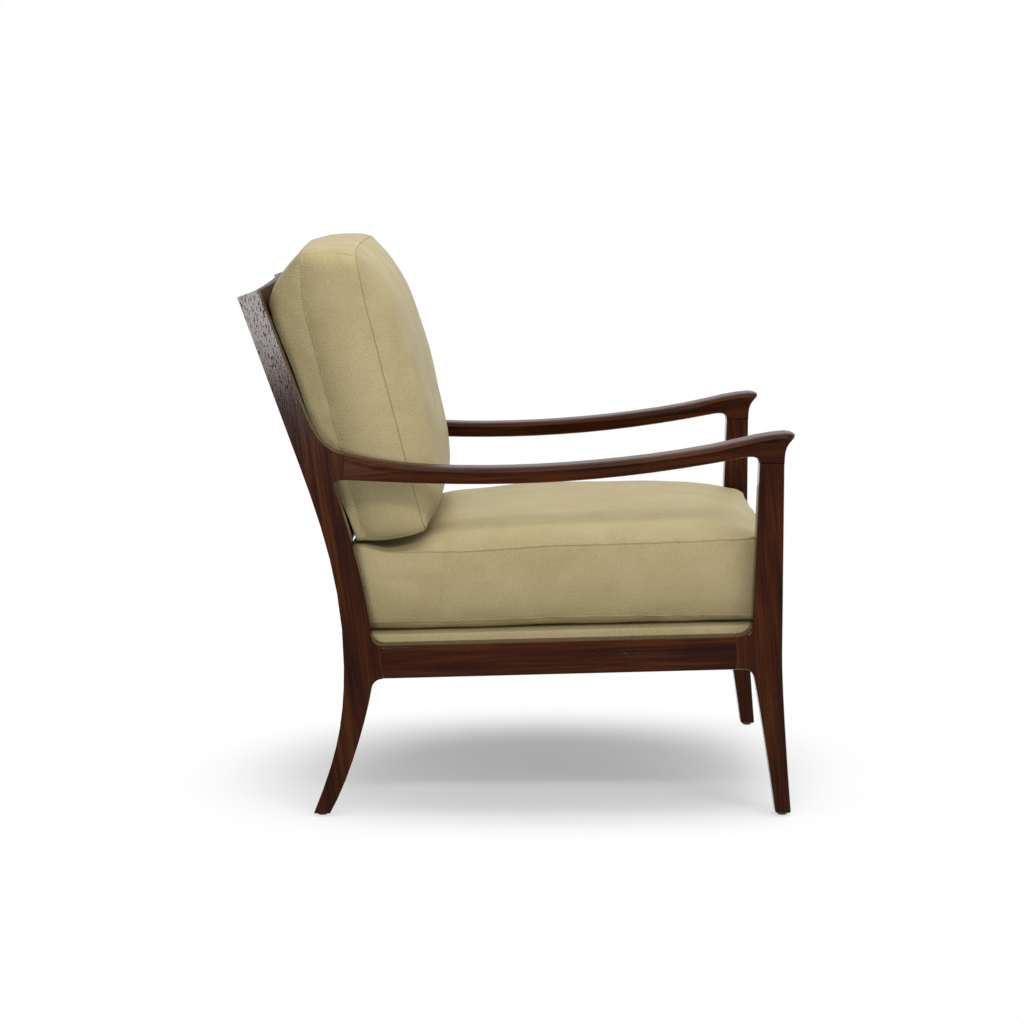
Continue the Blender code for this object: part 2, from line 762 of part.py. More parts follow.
def make_corner_blocks(seat, rails, battens, materials):
    """Glue blocks in the corners of the seat rails. They carry the deck, which is screwed down."""
    block_top = deck_levels()[3] - GAP
    middle = block_top - BLOCK_HEIGHT / 2
    turn = seat.matrix_world.to_3x3()
    for end, end_name in ((1, "front"), (-1, "rear")):
        corner_forward = front_rail_back() - GAP if end > 0 else rear_rail_front() + GAP
        for side, side_name in SIDE_NAMES.items():
            corner = Vector((side * (INNER - GAP), -corner_forward))
            inward = Vector((-side, 0.0))
            along = Vector((0.0, end))
            outline = [corner, corner + inward * BLOCK_LEG, corner + along * BLOCK_LEG]
            if side * end < 0:
                outline.reverse()
            name = f"{end_name}_{side_name}_corner_block"
            mesh = plate_mesh(name, outline, BLOCK_HEIGHT)
            block = add_object(name, mesh, materials["pale_wood"], seat,
                               Matrix.Translation((0, 0, middle)))
            depth = BLOCK_LEG - BLOCK_SCREW_OFFSET - BLOCK_SCREW_SINK
            spot = corner + inward * BLOCK_SCREW_OFFSET + along * depth
            head = seat.matrix_world @ Vector((spot.x, spot.y, middle))
            screw(f"{end_name}_{side_name}_block_screw", (block, rails[end_name]), head,
                  turn @ Vector((0, -end, 0)), depth + SCREW_BITE, materials["steel"],
                  sink=BLOCK_SCREW_SINK + SCREW_HEAD_RADIUS + 0.002)
            spot = corner + (inward + along) * DECK_SCREW_OFFSET
            head = seat.matrix_world @ Vector((spot.x, spot.y, block_top - BLOCK_HEIGHT))
            screw(f"{end_name}_{side_name}_deck_screw", (block, battens[side]), head,
                  turn @ Vector((0, 0, 1)), BLOCK_HEIGHT + SCREW_BITE, materials["steel"])


def make_deck(seat, materials):
    """The drop-in seat deck: a batten frame, webbing, a pad, a leather cover and a dust cover."""
    pad_top, strap_top, batten_top, batten_bottom = deck_levels()
    back, front = rear_rail_front() + COVER_ROOM, front_rail_back() - COVER_ROOM
    side = INNER - COVER_ROOM
    shrink = DECK_LEATHER + GAP
    in_side, in_back, in_front = side - shrink, back + shrink, front - shrink

    battens = {}
    for sign, side_name in SIDE_NAMES.items():
        low_x, high_x = sorted((sign * in_side, sign * (in_side - BATTEN_WIDTH)))
        battens[sign] = bar(
            f"{side_name}_deck_batten", (low_x, -in_front, batten_bottom),
            (high_x, -in_back, batten_top), materials["pale_wood"], seat,
        )
        round_edges(battens[sign], DECK_EDGE_ROUND - DECK_LEATHER,
                    lambda a, b, s=sign: a.x * s < 0 or b.x * s < 0 or abs(b.z - a.z) < GAP)
    reach = in_side - BATTEN_WIDTH - GAP
    for name, low, high in (
        ("front_deck_batten", in_front - BATTEN_WIDTH, in_front),
        ("rear_deck_batten", in_back, in_back + BATTEN_WIDTH),
    ):
        bar(name, (-reach, -high, batten_bottom), (reach, -low, batten_top),
            materials["pale_wood"], seat)

    spacing = (in_front - in_back) / STRAP_COUNT
    for index in range(STRAP_COUNT):
        middle = in_back + spacing * (index + 0.5)
        half = STRAP_WIDTH / 2
        bar(f"webbing_strap_{index + 1}",
            (-in_side + STRAP_INSET, -middle - half, strap_top - STRAP_THICKNESS),
            (in_side - STRAP_INSET, -middle + half, strap_top), materials["webbing"], seat)

    pad = bar("deck_pad", (-in_side, -in_front, pad_top - DECK_PAD_THICKNESS),
              (in_side, -in_back, pad_top), materials["foam"], seat)
    below = -DECK_PAD_THICKNESS / 2
    round_edges(pad, DECK_EDGE_ROUND - DECK_LEATHER, lambda a, b: a.z + b.z < below)

    cover = bar("deck_cover", (-side, -front, -DECK_SKIRT), (side, -back, DECK_RISE),
                materials["leather"], seat)
    bm = bmesh.new()
    bm.from_mesh(cover.data)
    bmesh.ops.delete(bm, geom=[f for f in bm.faces if f.normal.z < -0.9], context="FACES_ONLY")
    bm.to_mesh(cover.data)
    bm.free()
    round_edges(cover, DECK_EDGE_ROUND, lambda a, b: a.z < 0 and b.z < 0)
    shell = cover.modifiers.new("leather_thickness", "SOLIDIFY")
    shell.thickness = DECK_LEATHER
    shell.offset = -1.0
    shell.use_even_offset = True

    clear = BLOCK_LEG + DUST_COVER_MARGIN
    outline = []
    for x, y in ((in_side, -in_back), (-in_side, -in_back), (-in_side, -in_front),
                 (in_side, -in_front)):
        corner = vector(x, y)
        towards_x = vector(-math.copysign(clear, x), 0.0)
        towards_y = vector(0.0, clear if y < -(in_back + in_front) / 2 else -clear)
        pair = [corner + towards_y, corner + towards_x]
        outline += pair if (x > 0) == (y > -(in_back + in_front) / 2) else pair[::-1]
    mesh = plate_mesh("dust_cover", outline, DUST_COVER_THICKNESS)
    level = batten_bottom - GAP - DUST_COVER_THICKNESS / 2
    add_object("dust_cover", mesh, materials["cambric"], seat, Matrix.Translation((0, 0, level)))
    return battens


# Back: rails and slats in the axes of the leaning empty: X, backward Y, up Z from the posts' top


def back_plane():
    """The front plane of the back rails: a point of the side profile and its lean."""
    post_up = vector(-math.sin(POST_LEAN), math.cos(POST_LEAN))
    post_front = vector(post_up.y, -post_up.x)
    top = POST_BEND_BACK + post_up * POST_LENGTH + post_front * POST_TOP_WIDTH
    low = POST_BEND_BACK + post_up * SWOOP_RISE + post_front * SWOOP_WIDTH
    lean = math.atan2(low.x - top.x, top.y - low.y)
    backward = vector(-math.cos(lean), -math.sin(lean))
    return top + backward * BACK_RAIL_SETBACK, lean


def make_back(back, legs, materials):
    """Crest rail and lower back rail, tenoned into the legs, and the slats housed in both."""
    wood = materials["wood"]
    reach = INNER - GAP
    thickness = BACK_RAIL_THICKNESS
    top_edge = bezier(
        vector(reach, 0.0), vector(reach / 3, -CREST_DIP * 4 / 3),
        vector(-reach / 3, -CREST_DIP * 4 / 3), vector(-reach, 0.0), 10,
    )
    outline = top_edge + [vector(-reach, -CREST_HEIGHT), vector(reach, -CREST_HEIGHT)]
    place = Matrix.Translation((0, thickness / 2, 0)) @ Matrix.Rotation(math.pi / 2, 4, "X")
    crest = add_object("crest_rail", plate_mesh("crest_rail", outline, thickness), wood, back, place)
    round_edges(crest, EDGE_ROUND, lambda a, b: abs(a.x) > reach - GAP and abs(b.x) > reach - GAP)
    middle = -POST_LENGTH - LOWER_RAIL_BELOW_BEND
    half = LOWER_RAIL_HEIGHT / 2
    lower = bar("lower_back_rail", (-reach, 0.0, middle - half), (reach, thickness, middle + half),
                wood, back, EDGE_ROUND, along=0)

    low, high = middle + half - SLAT_HOUSING, -CREST_HEIGHT + SLAT_HOUSING
    near, far = SLAT_SETBACK, SLAT_SETBACK + SLAT_THICKNESS
    for index in range(SLAT_COUNT):
        x = (index - (SLAT_COUNT - 1) / 2) * 2 * INNER / (SLAT_COUNT + 1)
        sides = (x - SLAT_WIDTH / 2, x + SLAT_WIDTH / 2)
        bar(f"back_slat_{index + 1}", (sides[0], near, low), (sides[1], far, high),
            wood, back, SLAT_ROUND, along=2)
        for rail, bottom, top in (
            (lower, low - GAP, middle + half + SLAT_HOUSING),
            (crest, -CREST_HEIGHT - SLAT_HOUSING, high + GAP),
        ):
            cut_box(rail, back.matrix_world, (sides[0] - GAP, near - GAP, bottom),
                    (sides[1] + GAP, far + GAP, top))

    ends = (legs["rear", -1], legs["rear", 1])
    for rail, size in ((crest, (0, BACK_TENON_WIDTH, TENON_THICKNESS)),
                       (lower, (0, TENON_THICKNESS, BACK_TENON_WIDTH))):
        add_tenons(rail, 0, size, ends)


# Glides under the feet


def make_glides(legs, materials):
    middles = {
        "front": FRONT_FOOT_FRONT - FRONT_FOOT_WIDTH / 2,
        "rear": REAR_FOOT_BACK + REAR_FOOT_WIDTH / 2,
    }
    edge = GLIDE_RADIUS - GLIDE_EDGE
    profile = [(0.0, 0.0), (edge, 0.0), (GLIDE_RADIUS, GLIDE_EDGE), (GLIDE_RADIUS, GLIDE_HEIGHT)]
    profile += [(GLIDE_PIN_RADIUS, GLIDE_HEIGHT), (GLIDE_PIN_RADIUS, GLIDE_PIN_LENGTH)]
    profile += [(0.0, GLIDE_PIN_LENGTH)]
    for (kind, side), leg in legs.items():
        place = Matrix.Translation((side * MID_THICKNESS, -middles[kind], 0.0))
        mesh = turned_mesh(profile, sides=16)
        add_object(f"{SIDE_NAMES[side]}_{kind}_glide", mesh, materials["glide"], matrix=place)
        hole = rod(GLIDE_PIN_RADIUS + GAP, 0.0, GLIDE_PIN_LENGTH + GAP)
        cut(leg, turned_mesh(hole), place)


# Cushions


def perimeter(half_width, half_length, corner):
    """A rounded rectangle as (point, outward normal), one point at the middle of each side."""
    points = []
    straight = vector(half_width - corner, half_length - corner)
    for quarter in range(4):
        turn = Matrix.Rotation(quarter * math.pi / 2, 2)
        reach = half_width if quarter % 2 == 0 else half_length
        along = straight.y if quarter % 2 == 0 else straight.x
        for step in range(SIDE_STEPS + 1):
            place = vector(reach, along * (2 * step / SIDE_STEPS - 1))
            points.append((turn @ place, turn @ vector(1.0, 0.0)))
        for step in range(1, CORNER_STEPS):
            angle = step * math.pi / 2 / CORNER_STEPS
            normal = vector(math.cos(angle), math.sin(angle))
            centre = vector(reach - corner, along)
            points.append((turn @ (centre + normal * corner), turn @ normal))
    return points


def pillow_mesh(name, outline, layers, bottom, top, warp):
    """A closed surface from rings of the outline, one for each (scale, height, bulge) layer."""
    bm = bmesh.new()
    rings = []
    for scale, height, bulge in layers:
        ring = []
        for point, normal in outline:
            flat = point * scale + normal * bulge
            ring.append(bm.verts.new(warp(Vector((flat.x, flat.y, height)))))
        rings.append(ring)
    count = len(outline)
    for low, high in zip(rings, rings[1:]):
        for i in range(count):
            j = (i + 1) % count
            bm.faces.new((low[i], low[j], high[j], high[i]))
    for ring, height in ((rings[0], bottom), (rings[-1], top)):
        centre = bm.verts.new(warp(Vector((0.0, 0.0, height))))
        for i in range(count):
            bm.faces.new((ring[i], ring[(i + 1) % count], centre))
    return mesh_from(bm, name)


def smooth_step(share):
    share = max(0.0, min(1.0, share))
    return share * share * (3 - 2 * share)


def soft_max(a, b, softness):
    """The larger of two lengths, rounded off where they are alike."""
    return (a + b + math.hypot(a - b, softness)) / 2


def crown_share(scale, dome=CROWN_DOME, power=CROWN_POWER):
    """Share of a panel's crown between its seam, at 1, and its centre, at 0."""
    return 1 - dome * scale**2 - (1 - dome) * scale**power


def seat_fullness(forward):
    """Share of the seat cushion's crown that the back cushion leaves unpressed."""
    share = smooth_step((forward - SEAT_SUNK_UNTIL) / (SEAT_FULL_FROM - SEAT_SUNK_UNTIL))
    return SEAT_SUNK_SHARE + (1 - SEAT_SUNK_SHARE) * share


def seat_press(forward):
    """How far the back cushion's weight lowers the seat cushion's top seam."""
    span = SEAT_UNPRESSED_FROM - SEAT_PRESSED_UNTIL
    return SEAT_PRESS * (1 - smooth_step((forward - SEAT_PRESSED_UNTIL) / span))


def seat_height_at(x, forward):
    """Height of the seat cushion's top in the seat's axes."""
    middle = SEAT_FRONT - SEAT_LENGTH / 2
    scale = max(abs(x) / SEAT_HALF_WIDTH, abs(forward - middle) / (SEAT_LENGTH / 2))
    seam = DECK_RISE + SOFT_GAP + SEAT_UNDER_ROUND + SEAT_BOX_HEIGHT - seat_press(forward)
    return seam + SEAT_CROWN * crown_share(min(scale, 1.0)) * seat_fullness(forward)


def seat_cushion_mesh():
    """The seat cushion about its centre, standing on the deck's leather."""
    bottom = DECK_RISE + SOFT_GAP
    low_seam = bottom + SEAT_UNDER_ROUND
    high_seam = low_seam + SEAT_BOX_HEIGHT
    middle = (low_seam + high_seam) / 2
    layers = [(0.91, bottom, 0.0), (0.97, bottom + SEAT_UNDER_ROUND * 0.3, 0.0)]
    layers += [(1.0, low_seam, 0.0)]
    layers += [(1.0, middle - ZIP_BAND, SEAT_BULGE), (1.0, middle + ZIP_BAND, SEAT_BULGE)]
    layers += [(1.0, high_seam, 0.0)]
    for scale in PANEL_RINGS:
        layers.append((scale, high_seam + SEAT_CROWN * crown_share(scale), 0.0))
    outline = perimeter(SEAT_HALF_WIDTH, SEAT_LENGTH / 2, SEAT_CORNER)
    back = SEAT_LENGTH / 2 - SEAT_FRONT

    def sink(point):
        forward = -point.y - back
        crown = max(0.0, point.z - high_seam) * seat_fullness(forward)
        level = min(point.z, high_seam)
        level -= seat_press(forward) * (level - bottom) / (high_seam - bottom)
        return Vector((point.x, -forward, level + crown))

    return pillow_mesh("seat_cushion", outline, layers, bottom, high_seam + SEAT_CROWN, sink)


def back_cushion_mesh(cushion, seat, back):
    """The back cushion in its own axes: X, up Y, forward Z. It gives way to what it rests on."""
    layers = []
    for scale in reversed(PANEL_RINGS):
        depth = BACK_REAR_CROWN * crown_share(scale, 0.0, BACK_REAR_POWER)
        layers.append((scale, -depth, 0.0))
    middle = BACK_BOX_THICKNESS / 2
    layers += [(1.0, 0.0, 0.0), (1.0, middle - ZIP_BAND, BACK_BULGE)]
    layers += [(1.0, middle + ZIP_BAND, BACK_BULGE), (1.0, BACK_BOX_THICKNESS, 0.0)]
    for scale in PANEL_RINGS:
        crown = BACK_FRONT_CROWN * crown_share(scale)
        layers.append((scale, BACK_BOX_THICKNESS + crown, 0.0))
    half = BACK_CUSHION_HEIGHT / 2
    outline = perimeter(BACK_HALF_WIDTH, half, BACK_CORNER)
    to_chair, to_seat, to_back = (item.matrix_world for item in (cushion, seat, back))
    from_chair, seat_inverse, back_inverse = (
        matrix.inverted() for matrix in (to_chair, to_seat, to_back)
    )

    def give_way(point):
        share = (point.y / half + 1) / 2
        near_top = max(0.0, (share - BACK_NARROWING_START) / (1 - BACK_NARROWING_START))
        narrowing = near_top**2
        front = max(0.0, min(1.0, point.z / BACK_BOX_THICKNESS))
        shift = BACK_TOP_NARROWING + (BACK_TOP_SHIFT - BACK_TOP_NARROWING) * front
        drop = front * (BACK_FOOT_DROP + (BACK_TOP_DROP - BACK_FOOT_DROP) * share)
        rise = BACK_TOP_BOW * narrowing * (1 - (point.x / BACK_HALF_WIDTH) ** 2)
        level = max(0.0, min(BACK_BOX_THICKNESS, point.z))
        crown = (point.z - level) * (1 - BACK_TOP_FLATNESS * near_top)
        bent = Vector((point.x, point.y - drop + rise, level + crown + shift * narrowing))
        place = to_chair @ bent
        local = back_inverse @ place
        local.y = -soft_max(-local.y, SOFT_GAP, RAIL_REST_SOFTNESS)
        place = to_back @ local
        local = seat_inverse @ place
        spread = (abs(point.x) - BACK_HALF_WIDTH) / BACK_REST_INSET + 1
        rest_x = abs(point.x) * smooth_step(spread)
        rest = seat_height_at(rest_x, -local.y)
        local.z = soft_max(local.z, rest, SEAT_REST_SOFTNESS)
        return from_chair @ (to_seat @ local)

    return pillow_mesh("back_cushion", outline, layers, -BACK_REAR_CROWN,
                       BACK_BOX_THICKNESS + BACK_FRONT_CROWN, give_way)


def surface_of(mesh, matrix):
    """A mesh's points in the chair's coordinates, with a tree to cast rays on."""
    points = [matrix @ v.co for v in mesh.vertices]
    faces = [list(p.vertices) for p in mesh.polygons]
    return points, BVHTree.FromPolygons(points, faces)


def least_drop(upper, lower):
    """The least height between an upper body's underside and a lower body's top."""
    upper_points, upper_tree = upper
    lower_points, lower_tree = lower
    drops = []
    for point in upper_points:
        hit = lower_tree.ray_cast(Vector((point.x, point.y, 2.0)), Vector((0, 0, -1)))[0]
        if hit is not None:
            drops.append(point.z - hit.z)
    for point in lower_points:
        hit = upper_tree.ray_cast(Vector((point.x, point.y, -1.0)), Vector((0, 0, 1)))[0]
        if hit is not None:
            drops.append(hit.z - point.z)
    return min(drops)


def settle(cushion, mesh, under, under_mesh, back):
    """Slides the back cushion along the back's lean until it just clears the seat cushion."""
    up = back.matrix_world.to_3x3() @ Vector((0, 0, 1))
    for _ in range(4):
        bpy.context.view_layer.update()
        upper = surface_of(mesh, cushion.matrix_world)
        lower = surface_of(under_mesh, under.matrix_world)
        cushion.location += up * ((SOFT_GAP - least_drop(upper, lower)) / up.z)
    bpy.context.view_layer.update()


def zip_place(item, mesh, low_layer, side_index):
    """Where a zip lies: on the band above one layer, at the middle of one side, facing out."""
    count = 4 * (SIDE_STEPS + CORNER_STEPS)
    middle = side_index * (SIDE_STEPS + CORNER_STEPS) + SIDE_STEPS // 2
    matrix = item.matrix_world
    low = matrix @ mesh.vertices[low_layer * count + middle].co
    high = matrix @ mesh.vertices[(low_layer + 1) * count + middle].co
    beside = matrix @ mesh.vertices[low_layer * count + middle + 1].co
    along = (beside - low).normalized()
    across = (high - low).normalized()
    normal = along.cross(across).normalized()
    if normal.dot((low + high) / 2 - matrix @ centre_of(mesh)) < 0:
        normal.negate()
    across = normal.cross(along)
    turn = Matrix((along, across, normal)).transposed().to_4x4()
    return Matrix.Translation((low + high) / 2) @ turn


def centre_of(mesh):
    total = Vector()
    for vertex in mesh.vertices:
        total += vertex.co
    return total / len(mesh.vertices)


def shrunk_mesh(mesh, depth):
    """A copy of a closed mesh whose faces have all moved inwards by a depth."""
    bm = bmesh.new()
    bm.from_mesh(mesh)
    moves = [v.normal * (min(v.calc_shell_factor(), MITRE_LIMIT) * depth) for v in bm.verts]
    for vertex, move in zip(bm.verts, moves):
        vertex.co -= move
    return mesh_from(bm, mesh.name + "_inside")


def hollow_mesh(mesh, thickness):
    """A closed mesh as a skin: the mesh itself and a shrunk copy that faces inwards."""
    lining = shrunk_mesh(mesh, thickness)
    lining.flip_normals()
    bm = bmesh.new()
    bm.from_mesh(mesh)
    bm.from_mesh(lining)
    bpy.data.meshes.remove(lining)
    skin = bpy.data.meshes.new(mesh.name)
    bm.to_mesh(skin)
    bm.free()
    return skin


def make_cushion(kind, parent, mesh, low_layer, side_index, materials):
    """A cushion's cover, its foam core, the zip in the cover and the zip's slider."""
    place = zip_place(parent, mesh, low_layer, side_index)
    core_mesh = shrunk_mesh(mesh, COVER_THICKNESS + COVER_ROOM)
    skin = hollow_mesh(mesh, COVER_THICKNESS)
    cover = add_object(f"{kind}_cushion_cover", skin, materials["leather"], parent)
    half = ZIP_LENGTH / 2
    cut_box(cover, place, (-half, -ZIP_SLIT / 2, -0.006), (half, ZIP_SLIT / 2, 0.006))

    core = add_object(f"{kind}_cushion_core", core_mesh, materials["foam"], parent)
    tape_top = -COVER_THICKNESS - GAP
    tape_bottom = tape_top - ZIP_TAPE_THICKNESS
    tape_half = half + ZIP_TAPE_OVERLAP
    width = ZIP_TAPE_WIDTH / 2
    cut_box(core, place, (-tape_half - GAP, -width - GAP, tape_bottom - GAP),
            (tape_half + GAP, width + GAP, 0.008))

    tape = box_mesh(f"{kind}_cushion_zip", (2 * tape_half, 2 * width, ZIP_TAPE_THICKNESS))
    tape.transform(place @ Matrix.Translation((0, 0, (tape_top + tape_bottom) / 2)))
    add_object(f"{kind}_cushion_zip", tape, materials["webbing"])
    slider_low = tape_top + GAP
    slider = box_mesh(f"{kind}_zip_slider",
                      (ZIP_SLIDER_LENGTH, ZIP_SLIT - 4 * GAP, ZIP_SLIDER_THICKNESS))
    start = half - ZIP_SLIDER_LENGTH / 2 - GAP
    spot = place @ Matrix.Translation((start, 0, slider_low + ZIP_SLIDER_THICKNESS / 2))
    add_object(f"{kind}_zip_slider", slider, materials["brass"], matrix=spot)


def make_cushions(seat, back, materials):
    seat_rest = add_empty("seat_cushion_rest", seat.location, seat.rotation_euler)
    foot = in_chair(0.0, BACK_CUSHION_FOOT)
    lean = BACK_CUSHION_LEAN
    back_rest = add_empty("back_cushion_rest", foot, (math.pi / 2 - lean, 0.0, 0.0))
    bpy.context.view_layer.update()
    back_rest.location += back_rest.matrix_world.to_3x3() @ Vector((0, BACK_CUSHION_HEIGHT / 2, 0))
    bpy.context.view_layer.update()
    seat_mesh = seat_cushion_mesh()
    back_mesh = back_cushion_mesh(back_rest, seat, back)
    settle(back_rest, back_mesh, seat_rest, seat_mesh, back)
    make_cushion("seat", seat_rest, seat_mesh, 3, 1, materials)
    make_cushion("back", back_rest, back_mesh, 5, 3, materials)


def main():
    start_scene()
    materials = make_materials()
    seat = add_empty("seat_axes", (0.0, 0.0, SEAT_RAIL_TOP), (-SEAT_PITCH, 0.0, 0.0))
    origin, lean = back_plane()
    back = add_empty("back_axes", in_chair(0.0, origin), (-lean, 0.0, 0.0))
    bpy.context.view_layer.update()
    legs = make_legs(materials)
    arms = make_arms(materials)
    join_arms(arms, legs, materials)
    rails = make_seat_rails(seat, legs, materials)
    battens = make_deck(seat, materials)
    make_corner_blocks(seat, rails, battens, materials)
    make_back(back, legs, materials)
    make_glides(legs, materials)
    make_cushions(seat, back, materials)
    make_cuts()


main()
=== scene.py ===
"""The looks of a lounge chair: finishes, cushions, seams and zips on the frame of its CAD model.

Lengths are in metres. The chair stands on z = 0 and its front faces -Y, so "forward" is -y.
"""
import json
import math

import bmesh
import bpy
import numpy as np
from mathutils import Euler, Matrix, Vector, noise
from mathutils.bvhtree import BVHTree


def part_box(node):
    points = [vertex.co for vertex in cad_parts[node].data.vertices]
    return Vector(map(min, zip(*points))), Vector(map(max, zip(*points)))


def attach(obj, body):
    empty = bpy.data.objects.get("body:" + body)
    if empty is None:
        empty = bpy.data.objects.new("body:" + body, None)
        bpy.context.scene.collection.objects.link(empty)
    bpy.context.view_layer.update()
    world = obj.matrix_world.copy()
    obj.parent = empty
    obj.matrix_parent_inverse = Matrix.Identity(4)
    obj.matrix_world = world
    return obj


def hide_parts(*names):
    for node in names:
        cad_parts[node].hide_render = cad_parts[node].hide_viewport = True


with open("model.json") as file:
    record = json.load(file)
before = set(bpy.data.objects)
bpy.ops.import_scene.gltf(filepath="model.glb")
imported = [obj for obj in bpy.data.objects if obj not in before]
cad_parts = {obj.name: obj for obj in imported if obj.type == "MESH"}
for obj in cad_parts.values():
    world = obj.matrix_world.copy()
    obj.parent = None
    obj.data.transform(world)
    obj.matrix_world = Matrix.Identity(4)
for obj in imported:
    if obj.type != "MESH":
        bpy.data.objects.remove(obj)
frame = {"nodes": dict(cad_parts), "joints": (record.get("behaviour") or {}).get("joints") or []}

# Floor and surroundings
FLOOR_MIDDLE = (-0.08, -0.06, 0.0)
FLOOR_NEAR = 0.26
FLOOR_FAR = 0.64
FLOOR_GLOW = 0.30
FLOOR_BOUNCE = (0.32, 0.32, 0.32, 1.0)
FLOOR_REACH = 30
WORLD_FILL = 0.36

# Camera, from a fit of the photograph: it looks along +X, a little downwards
CAMERA_PLACE = Vector((-4.853, 0.0086, 1.0407))
CAMERA_PITCH = math.radians(7.267)
CAMERA_LENS = 105.47
CAMERA_SENSOR = 36.0

# Lamps: name, place, target, size in metres, power in watts
LAMPS = (
    ("overhead", (-0.2, -0.2, 2.4), (0.0, 0.0, 0.3), (1.6, 1.6), 25.0),
    ("key", (-2.9, -2.3, 1.9), (0.0, 0.0, 0.5), (1.4, 1.4), 19.0),
    ("strip", (-3.0, -0.5, 2.6), (0.0, 0.0, 0.5), (3.2, 0.4), 38.0),
    ("card", (-6.5, 0.90, 0.52), (0.0, 0.9, 0.52), (0.9, 0.6), 92.0),
)

# Wood: how rough each kind of piece is, and how far apart the boards' figures lie
POLISHED = 0.10
ARM_ROUGHNESS = 0.30
BACK_ROUGHNESS = 0.4
RAW_WOOD_ROUGHNESS = 0.6
BOARD_OFFSET = (0.37, 0.23, 0.71)

# Seat cushion, in the axes of the tilted seat
SEAT_ORIGIN = (0.0, 0.0, 0.2690)
SEAT_PITCH = math.radians(1.5)
SEAT_BOTTOM = 0.0126
SEAT_UNDER_ROUND = 0.0137
SEAT_BOX_HEIGHT = 0.1150
SEAT_CROWN = 0.0434
SEAT_FRONT = 0.3910
SEAT_HALF = (0.3165, 0.3205)
SEAT_CORNERS = (0.022, 0.052)
SEAT_PRESS = 0.0055
SEAT_SUNK_SHARE = 0.15
SEAT_FULL_FROM = (-0.210, 0.120)
SEAT_PRESS_UNTIL = (-0.090, 0.130)
SEAT_UNDER_POWER = 26
SEAT_REAR_CORNER_LIFT = 0.011
SEAT_LIFT_BESIDE = (0.178, 0.040)
SEAT_LIFT_BEHIND = (0.190, 0.050)

# Back cushion, in its own axes: X, up, forward
BACK_FOOT = (0.0, 0.2320, 0.4089)
BACK_LEAN = math.radians(14.3)
BACK_HALF = (0.3100, 0.2300)
BACK_BOX_THICKNESS = 0.0925
BACK_CORNERS = (0.024, 0.028)
BACK_FRONT_CROWN = 0.0590
BACK_REAR_CROWN = 0.0650
BACK_REAR_POWER_ACROSS = 24
BACK_REAR_POWERS_UP = (30, 12)
BACK_TOP_BOW = 0.008
BACK_TOP_FLATNESS = 0.5
BACK_TOP_DROP = 0.0210
BACK_FOOT_DROP = 0.0076
BACK_TOP_NARROWING = 0.0197
BACK_TOP_SHIFT = 0.0055
BACK_NARROWING_START = 0.75
BACK_REST_INSET = 0.120
BACK_TOP_SETTLES = 0.0035

# Welded copies of the CAD's solids
WELD_DISTANCE = 0.00001
FLAT_DEGREES = 0.05
SHARP_DEGREES = 32

# Both cushions
CROWN_DOME = 0.35
CROWN_POWER = 10
BOX_BULGE = 0.005
SIDE_BULGE = 0.0125
SIDE_BULGE_POWER = 0.85
REST_GAP = 0.0006
REST_SOFTNESS = 0.002
REST_REACH = 0.05
RAY_HEIGHT = 1.2
RAIL_REST_SOFTNESS = 0.004
SEAT_REST_SOFTNESS = 0.008
SIM_STEP = 0.012
SHAPE_STEP = 0.009
SIM_FRAMES = 20
SIM_CAP = 0.0035
SIM_START_INSET = 0.0015
CLOTH_SETTINGS = {
    "quality": 6, "mass": 0.4, "tension_stiffness": 25, "compression_stiffness": 25,
    "shear_stiffness": 12, "bending_stiffness": 1.5, "use_pressure": True,
    "uniform_pressure_force": 4.0, "vertex_group_shrink": "seam", "shrink_min": 0.0,
    "shrink_max": 0.004,
}

# Where the skins press on something: a start and the span over which the pressing fades
PRESSED_UNDER_BACK = (-0.150, 0.060)
PRESSED_ABOVE = 0.10
ON_SEAT_SPAN = 0.020
ON_RAILS_SPAN = 0.010
FREE_FROM_ZIP = (0.010, 0.030)
SIDE_TOLERANCE = 0.002

# Unevenness: how large the puckers and the slow waves are, and how their noise is scaled
PUCKER_SIZE = 0.0015
PUCKER_SCALE = 55.0
PUCKER_FADE = 0.022
PUCKER_REACH = 0.05
WAVE_SIZE = 0.0022
WAVE_SCALE = 11.0
WAVE_SEED = 3.0

# Seams: distances from the seam line, and how far each line stands out from the cushion
SEAM_LINES = ((0.0, -0.0013), (0.0011, 0.0001), (0.0024, 0.0004), (0.0042, -0.0003),
              (0.0062, 0.0002))
SEAM_REACH = 0.012
# Width of the shade painted along each seam's groove
SEAM_SHADE_WIDTH = 0.0009
CLEAR_OF_SEAM = 0.7
CLEAR_OF_LINE = 0.3
# Lower seams: their share of the groove's depth and of its painted shade
LOW_SEAM_SHARE = 0.3
STITCH_OFFSET = 0.0042
STITCH_LENGTH = 0.0032
STITCH_SPACING = 0.0045
STITCH_RADIUS = 0.00050
STITCH_SIDES = 5
STITCH_RINGS = ((0.0, 0.35, -0.4), (0.2, 0.9, 0.3), (0.5, 1.0, 0.6), (0.8, 0.9, 0.3),
                (1.0, 0.35, -0.4))

# Zips
ZIP_HALF_LENGTH = 0.170
ZIP_HALF_SLIT = 0.0045
ZIP_LIP_DEPTH = 0.0016


# Shader building


def new_material(name):
    material = bpy.data.materials.new(name)
    material.use_nodes = True
    return material, material.node_tree, material.node_tree.nodes["Principled BSDF"]


def feed(tree, socket, value):
    """Links a socket to another one's value, or sets its constant."""
    if isinstance(value, bpy.types.NodeSocket):
        tree.links.new(value, socket)
    else:
        socket.default_value = value


def add_node(tree, kind, inputs=(), **settings):
    """A shader node with its settings, its constants and its links."""
    node = tree.nodes.new(kind)
    for key, value in settings.items():
        setattr(node, key, value)
    for name, value in dict(inputs).items():
        feed(tree, node.inputs[name], value)
    return node


